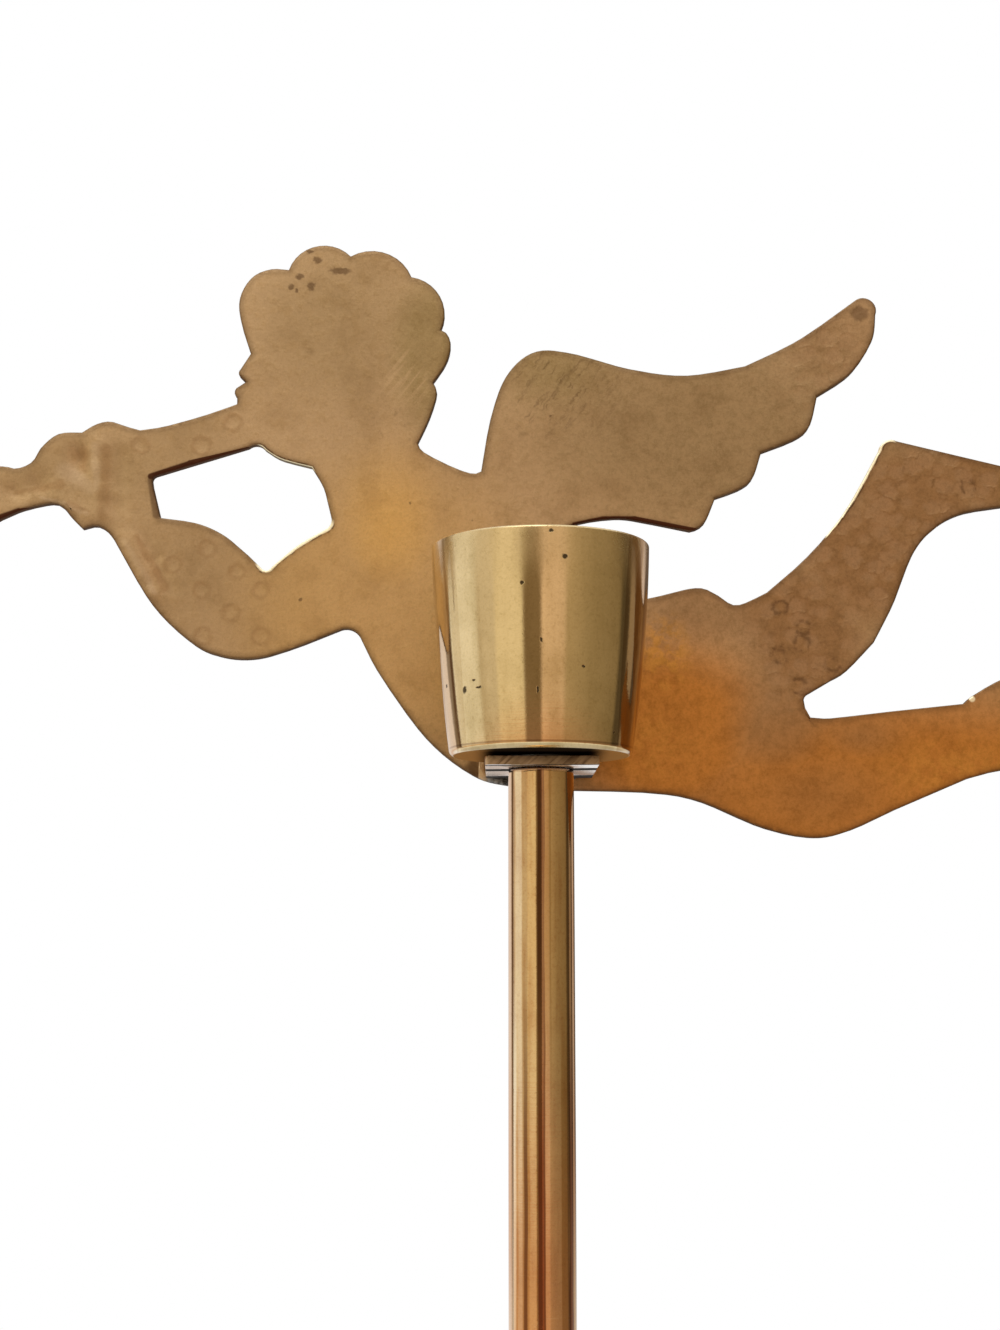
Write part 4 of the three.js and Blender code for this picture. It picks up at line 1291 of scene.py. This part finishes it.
def pale_floor(stage):
    """A round floor that fades into the white."""
    put_down()
    bpy.ops.mesh.primitive_circle_add(vertices=FLOOR_SIDES, radius=stage.floor_radius, fill_type="NGON")
    floor = bpy.context.object
    floor.name = "floor"
    graph = Graph("pale_floor")
    reach = graph.vector("LENGTH", graph.metres(), output="Value")
    near, far = (share * stage.floor_radius for share in FLOOR_FADE)
    fade = graph.band(reach, near, far) * seen_straight(graph)
    paper = graph.node("BsdfPrincipled", None, {"Base Color": solid(FLOOR_TONE), "Roughness": 0.9})
    white = graph.node("Emission", None, {"Color": solid((1, 1, 1)), "Strength": 1.0})
    surface = graph.node("MixShader", None, {0: fade, 1: paper, 2: white})
    graph.node("OutputMaterial", None, {"Surface": surface})
    floor.data.materials.append(graph.material)


def toned_wall(stage):
    """A round wall that only metal mirrors, with the soft tones of a room."""
    put_down()
    bpy.ops.mesh.primitive_cylinder_add(
        vertices=WALL_SIDES,
        radius=stage.wall_radius,
        depth=stage.wall_height,
        end_fill_type="NOTHING",
        location=(0, 0, STEM_TOP),
    )
    wall = bpy.context.object
    wall.name = "toned_wall"
    graph = Graph("room_tones")
    metres = graph.metres()
    sideways, ahead = graph.axis(metres, "X"), graph.axis(metres, "Y")
    turn = graph.node("Math", {"operation": "ARCTAN2"}, {0: sideways, 1: -ahead})
    stops = [((degrees + 180) / 360, rgb) for degrees, rgb in WALL_TONES]
    graph.tone = graph.node("ValToRGB", {"stops": stops}, {0: turn * (0.5 / math.pi) + 0.5})
    height = graph.axis(metres, "Z")
    low = graph.band(height, *LOW_FROM_TO)
    behind = graph.band(abs(turn), *(math.radians(degrees) for degrees in BEHIND_FROM_TO))
    foot = graph.band(height, *FOOT_FROM_TO) * (1 - behind) + graph.band(height, *FOOT_BEHIND) * behind
    graph.dim(low, LOW_TINT)
    graph.lay(low * 0.25, LOW_HAZE)
    graph.lay(foot, FOOT_TONE)
    light = graph.node("Emission", None, {"Color": graph.tone, "Strength": 1.0})
    graph.node("OutputMaterial", None, {"Surface": light})
    wall.data.materials.append(graph.material)
    for ray in ("camera", "diffuse", "shadow", "transmission", "volume_scatter"):
        setattr(wall, "visible_" + ray, False)


def soft_lamp(stage):
    """One broad lamp over the front left."""
    put_down()
    bpy.ops.object.light_add(type="AREA", location=LAMP_PLACE)
    lamp = bpy.context.object
    lamp.name = "soft_lamp"
    lamp.data.shape = "DISK"
    lamp.data.size = LAMP_SIZE
    lamp.data.energy = stage.lamp
    lamp.rotation_euler = (LAMP_AIM - LAMP_PLACE).to_track_quat("-Z", "Y").to_euler()


def front_camera(stage):
    """The photo's camera, close and a little from below."""
    put_down()
    bpy.ops.object.camera_add(location=stage.eye, rotation=(math.radians(90) + stage.tilt, 0, 0))
    camera = bpy.context.object
    camera.name = "front_camera"
    camera.data.lens = stage.lens
    camera.data.sensor_width = SENSOR_WIDTH
    camera.data.clip_start = NEAREST_SEEN
    bpy.context.scene.camera = camera


# Operators


class CANDLESTICK_OT_angel(bpy.types.Operator):
    """Model the sheet angel"""

    bl_idname = "candlestick.angel"
    bl_label = "Angel"

    def execute(self, context):
        piece = angel_figure(context.scene.candlestick_sizes)
        material = sheet_finish(context.scene.candlestick_finishes)
        finish_piece(piece, "figure", "sheet_brass", material, "angel_figure")
        return {"FINISHED"}


class CANDLESTICK_OT_bracket(bpy.types.Operator):
    """Model the bracket and the solder that hold the angel"""

    bl_idname = "candlestick.bracket"
    bl_label = "Bracket"

    def execute(self, context):
        sizes = context.scene.candlestick_sizes
        finishes = context.scene.candlestick_finishes
        strip = figure_bracket(sizes)
        finish_piece(strip, "figure", "bracket_brass", bracket_finish(finishes), "figure_bracket")
        solder = bracket_solder(sizes)
        finish_piece(solder, "figure", "solder", solder_finish(finishes), "bracket_solder")
        return {"FINISHED"}


class CANDLESTICK_OT_cup(bpy.types.Operator):
    """Turn the candle cup"""

    bl_idname = "candlestick.cup"
    bl_label = "Cup"

    def execute(self, context):
        finishes = context.scene.candlestick_finishes
        piece = candle_cup(context.scene.candlestick_sizes)
        tones = (finishes.cup, finishes.cup_dull)
        material = turned_finish(
            finishes,
            "cup_brass",
            tones,
            roughness=0.045,
            streak=3.0,
            dull_from=(18, 26),
            marks=CUP_PITS,
            streaks=cup_streaks,
        )
        finish_piece(piece, "cup", "cup_brass", material, "candle_cup")
        return {"FINISHED"}


class CANDLESTICK_OT_stem(bpy.types.Operator):
    """Make the stem tube and the threaded rod inside it"""

    bl_idname = "candlestick.stem"
    bl_label = "Stem"

    def execute(self, context):
        sizes = context.scene.candlestick_sizes
        finishes = context.scene.candlestick_finishes
        tube = stem_tube(sizes)
        tones = (finishes.stem, finishes.stem_dull)
        looks = {"roughness": 0.04, "streak": 0.8, "streaks": stem_streaks}
        material = turned_finish(finishes, "stem_brass", tones, **looks)
        finish_piece(tube, "stand", "stem_brass", material, "stem_tube")
        rod = tie_rod(sizes)
        finish_piece(rod, "stand", "steel", steel_finish(finishes), "tie_rod")
        return {"FINISHED"}


class CANDLESTICK_OT_hardware(bpy.types.Operator):
    """Break the edges of the nuts and washers"""

    bl_idname = "candlestick.hardware"
    bl_label = "Nuts and washers"

    def execute(self, context):
        sizes = context.scene.candlestick_sizes
        finishes = context.scene.candlestick_finishes
        bright = steel_finish(finishes)
        # The spacer washer is painted dark to stand for the shade in the gap under the cup
        shaded_spacer = steel_finish(finishes, "grimy_steel", shine=0.15)
        for node in ("cup_nut", "cup_washer", "spacer_washer", "foot_nut", "foot_washer"):
            piece = copy_of(node, "plated_" + node)
            softened(piece, sizes.nut_edge, segments=2, angle=20)
            finish_piece(piece, "stand", "steel", shaded_spacer if node == "spacer_washer" else bright, node)
        return {"FINISHED"}


class CANDLESTICK_OT_foot(bpy.types.Operator):
    """Spin the foot's dome and lay its weight and felt"""

    bl_idname = "candlestick.foot"
    bl_label = "Foot"

    def execute(self, context):
        sizes = context.scene.candlestick_sizes
        finishes = context.scene.candlestick_finishes
        dome = foot_shell(sizes)
        tones = (finishes.stem, finishes.stem_dull)
        material = turned_finish(finishes, "foot_brass", tones, roughness=0.2, streak=4.0)
        finish_piece(dome, "stand", "foot_brass", material, "foot_shell")
        weight = copy_of("foot_weight", "iron_weight")
        softened(weight, sizes.weight_edge)
        finish_piece(weight, "stand", "iron", iron_finish(finishes), "foot_weight")
        felt = foot_felt(sizes)
        finish_piece(felt, "stand", "felt", felt_finish(finishes), "foot_felt")
        return {"FINISHED"}


class CANDLESTICK_OT_stage(bpy.types.Operator):
    """Set up the white studio, its light and the camera"""

    bl_idname = "candlestick.stage"
    bl_label = "Stage"

    def execute(self, context):
        stage = context.scene.candlestick_stage
        white_world(stage)
        pale_floor(stage)
        toned_wall(stage)
        soft_lamp(stage)
        front_camera(stage)
        context.scene.view_settings.view_transform = "Standard"
        return {"FINISHED"}


STEPS = (
    CANDLESTICK_OT_angel,
    CANDLESTICK_OT_bracket,
    CANDLESTICK_OT_cup,
    CANDLESTICK_OT_stem,
    CANDLESTICK_OT_hardware,
    CANDLESTICK_OT_foot,
    CANDLESTICK_OT_stage,
)


class VIEW3D_PT_candlestick(bpy.types.Panel):
    """Lists the steps that dress the candlestick"""

    bl_label = "Angel Candlestick"
    bl_space_type = "VIEW_3D"
    bl_region_type = "UI"
    bl_category = "Candlestick"

    def draw(self, context):
        for step in STEPS:
            self.layout.operator(step.bl_idname)
        for group in ("sizes", "finishes", "stage"):
            settings = getattr(context.scene, "candlestick_" + group)
            box = self.layout.box()
            for name in settings.__annotations__:
                box.prop(settings, name)


GROUPS = {
    "candlestick_sizes": CandlestickSizes,
    "candlestick_finishes": CandlestickFinishes,
    "candlestick_stage": CandlestickStage,
}


def register():
    for made in (*GROUPS.values(), *STEPS, VIEW3D_PT_candlestick):
        bpy.utils.register_class(made)
    for name, group in GROUPS.items():
        setattr(bpy.types.Scene, name, PointerProperty(type=group))


def unregister():
    for name in GROUPS:
        delattr(bpy.types.Scene, name)
    for made in (VIEW3D_PT_candlestick, *reversed(STEPS), *GROUPS.values()):
        bpy.utils.unregister_class(made)


def main():
    register()
    bpy.ops.candlestick.angel()
    bpy.ops.candlestick.bracket()
    bpy.ops.candlestick.cup()
    bpy.ops.candlestick.stem()
    bpy.ops.candlestick.hardware()
    bpy.ops.candlestick.foot()
    bpy.ops.candlestick.stage()


if __name__ == "__main__":
    main()
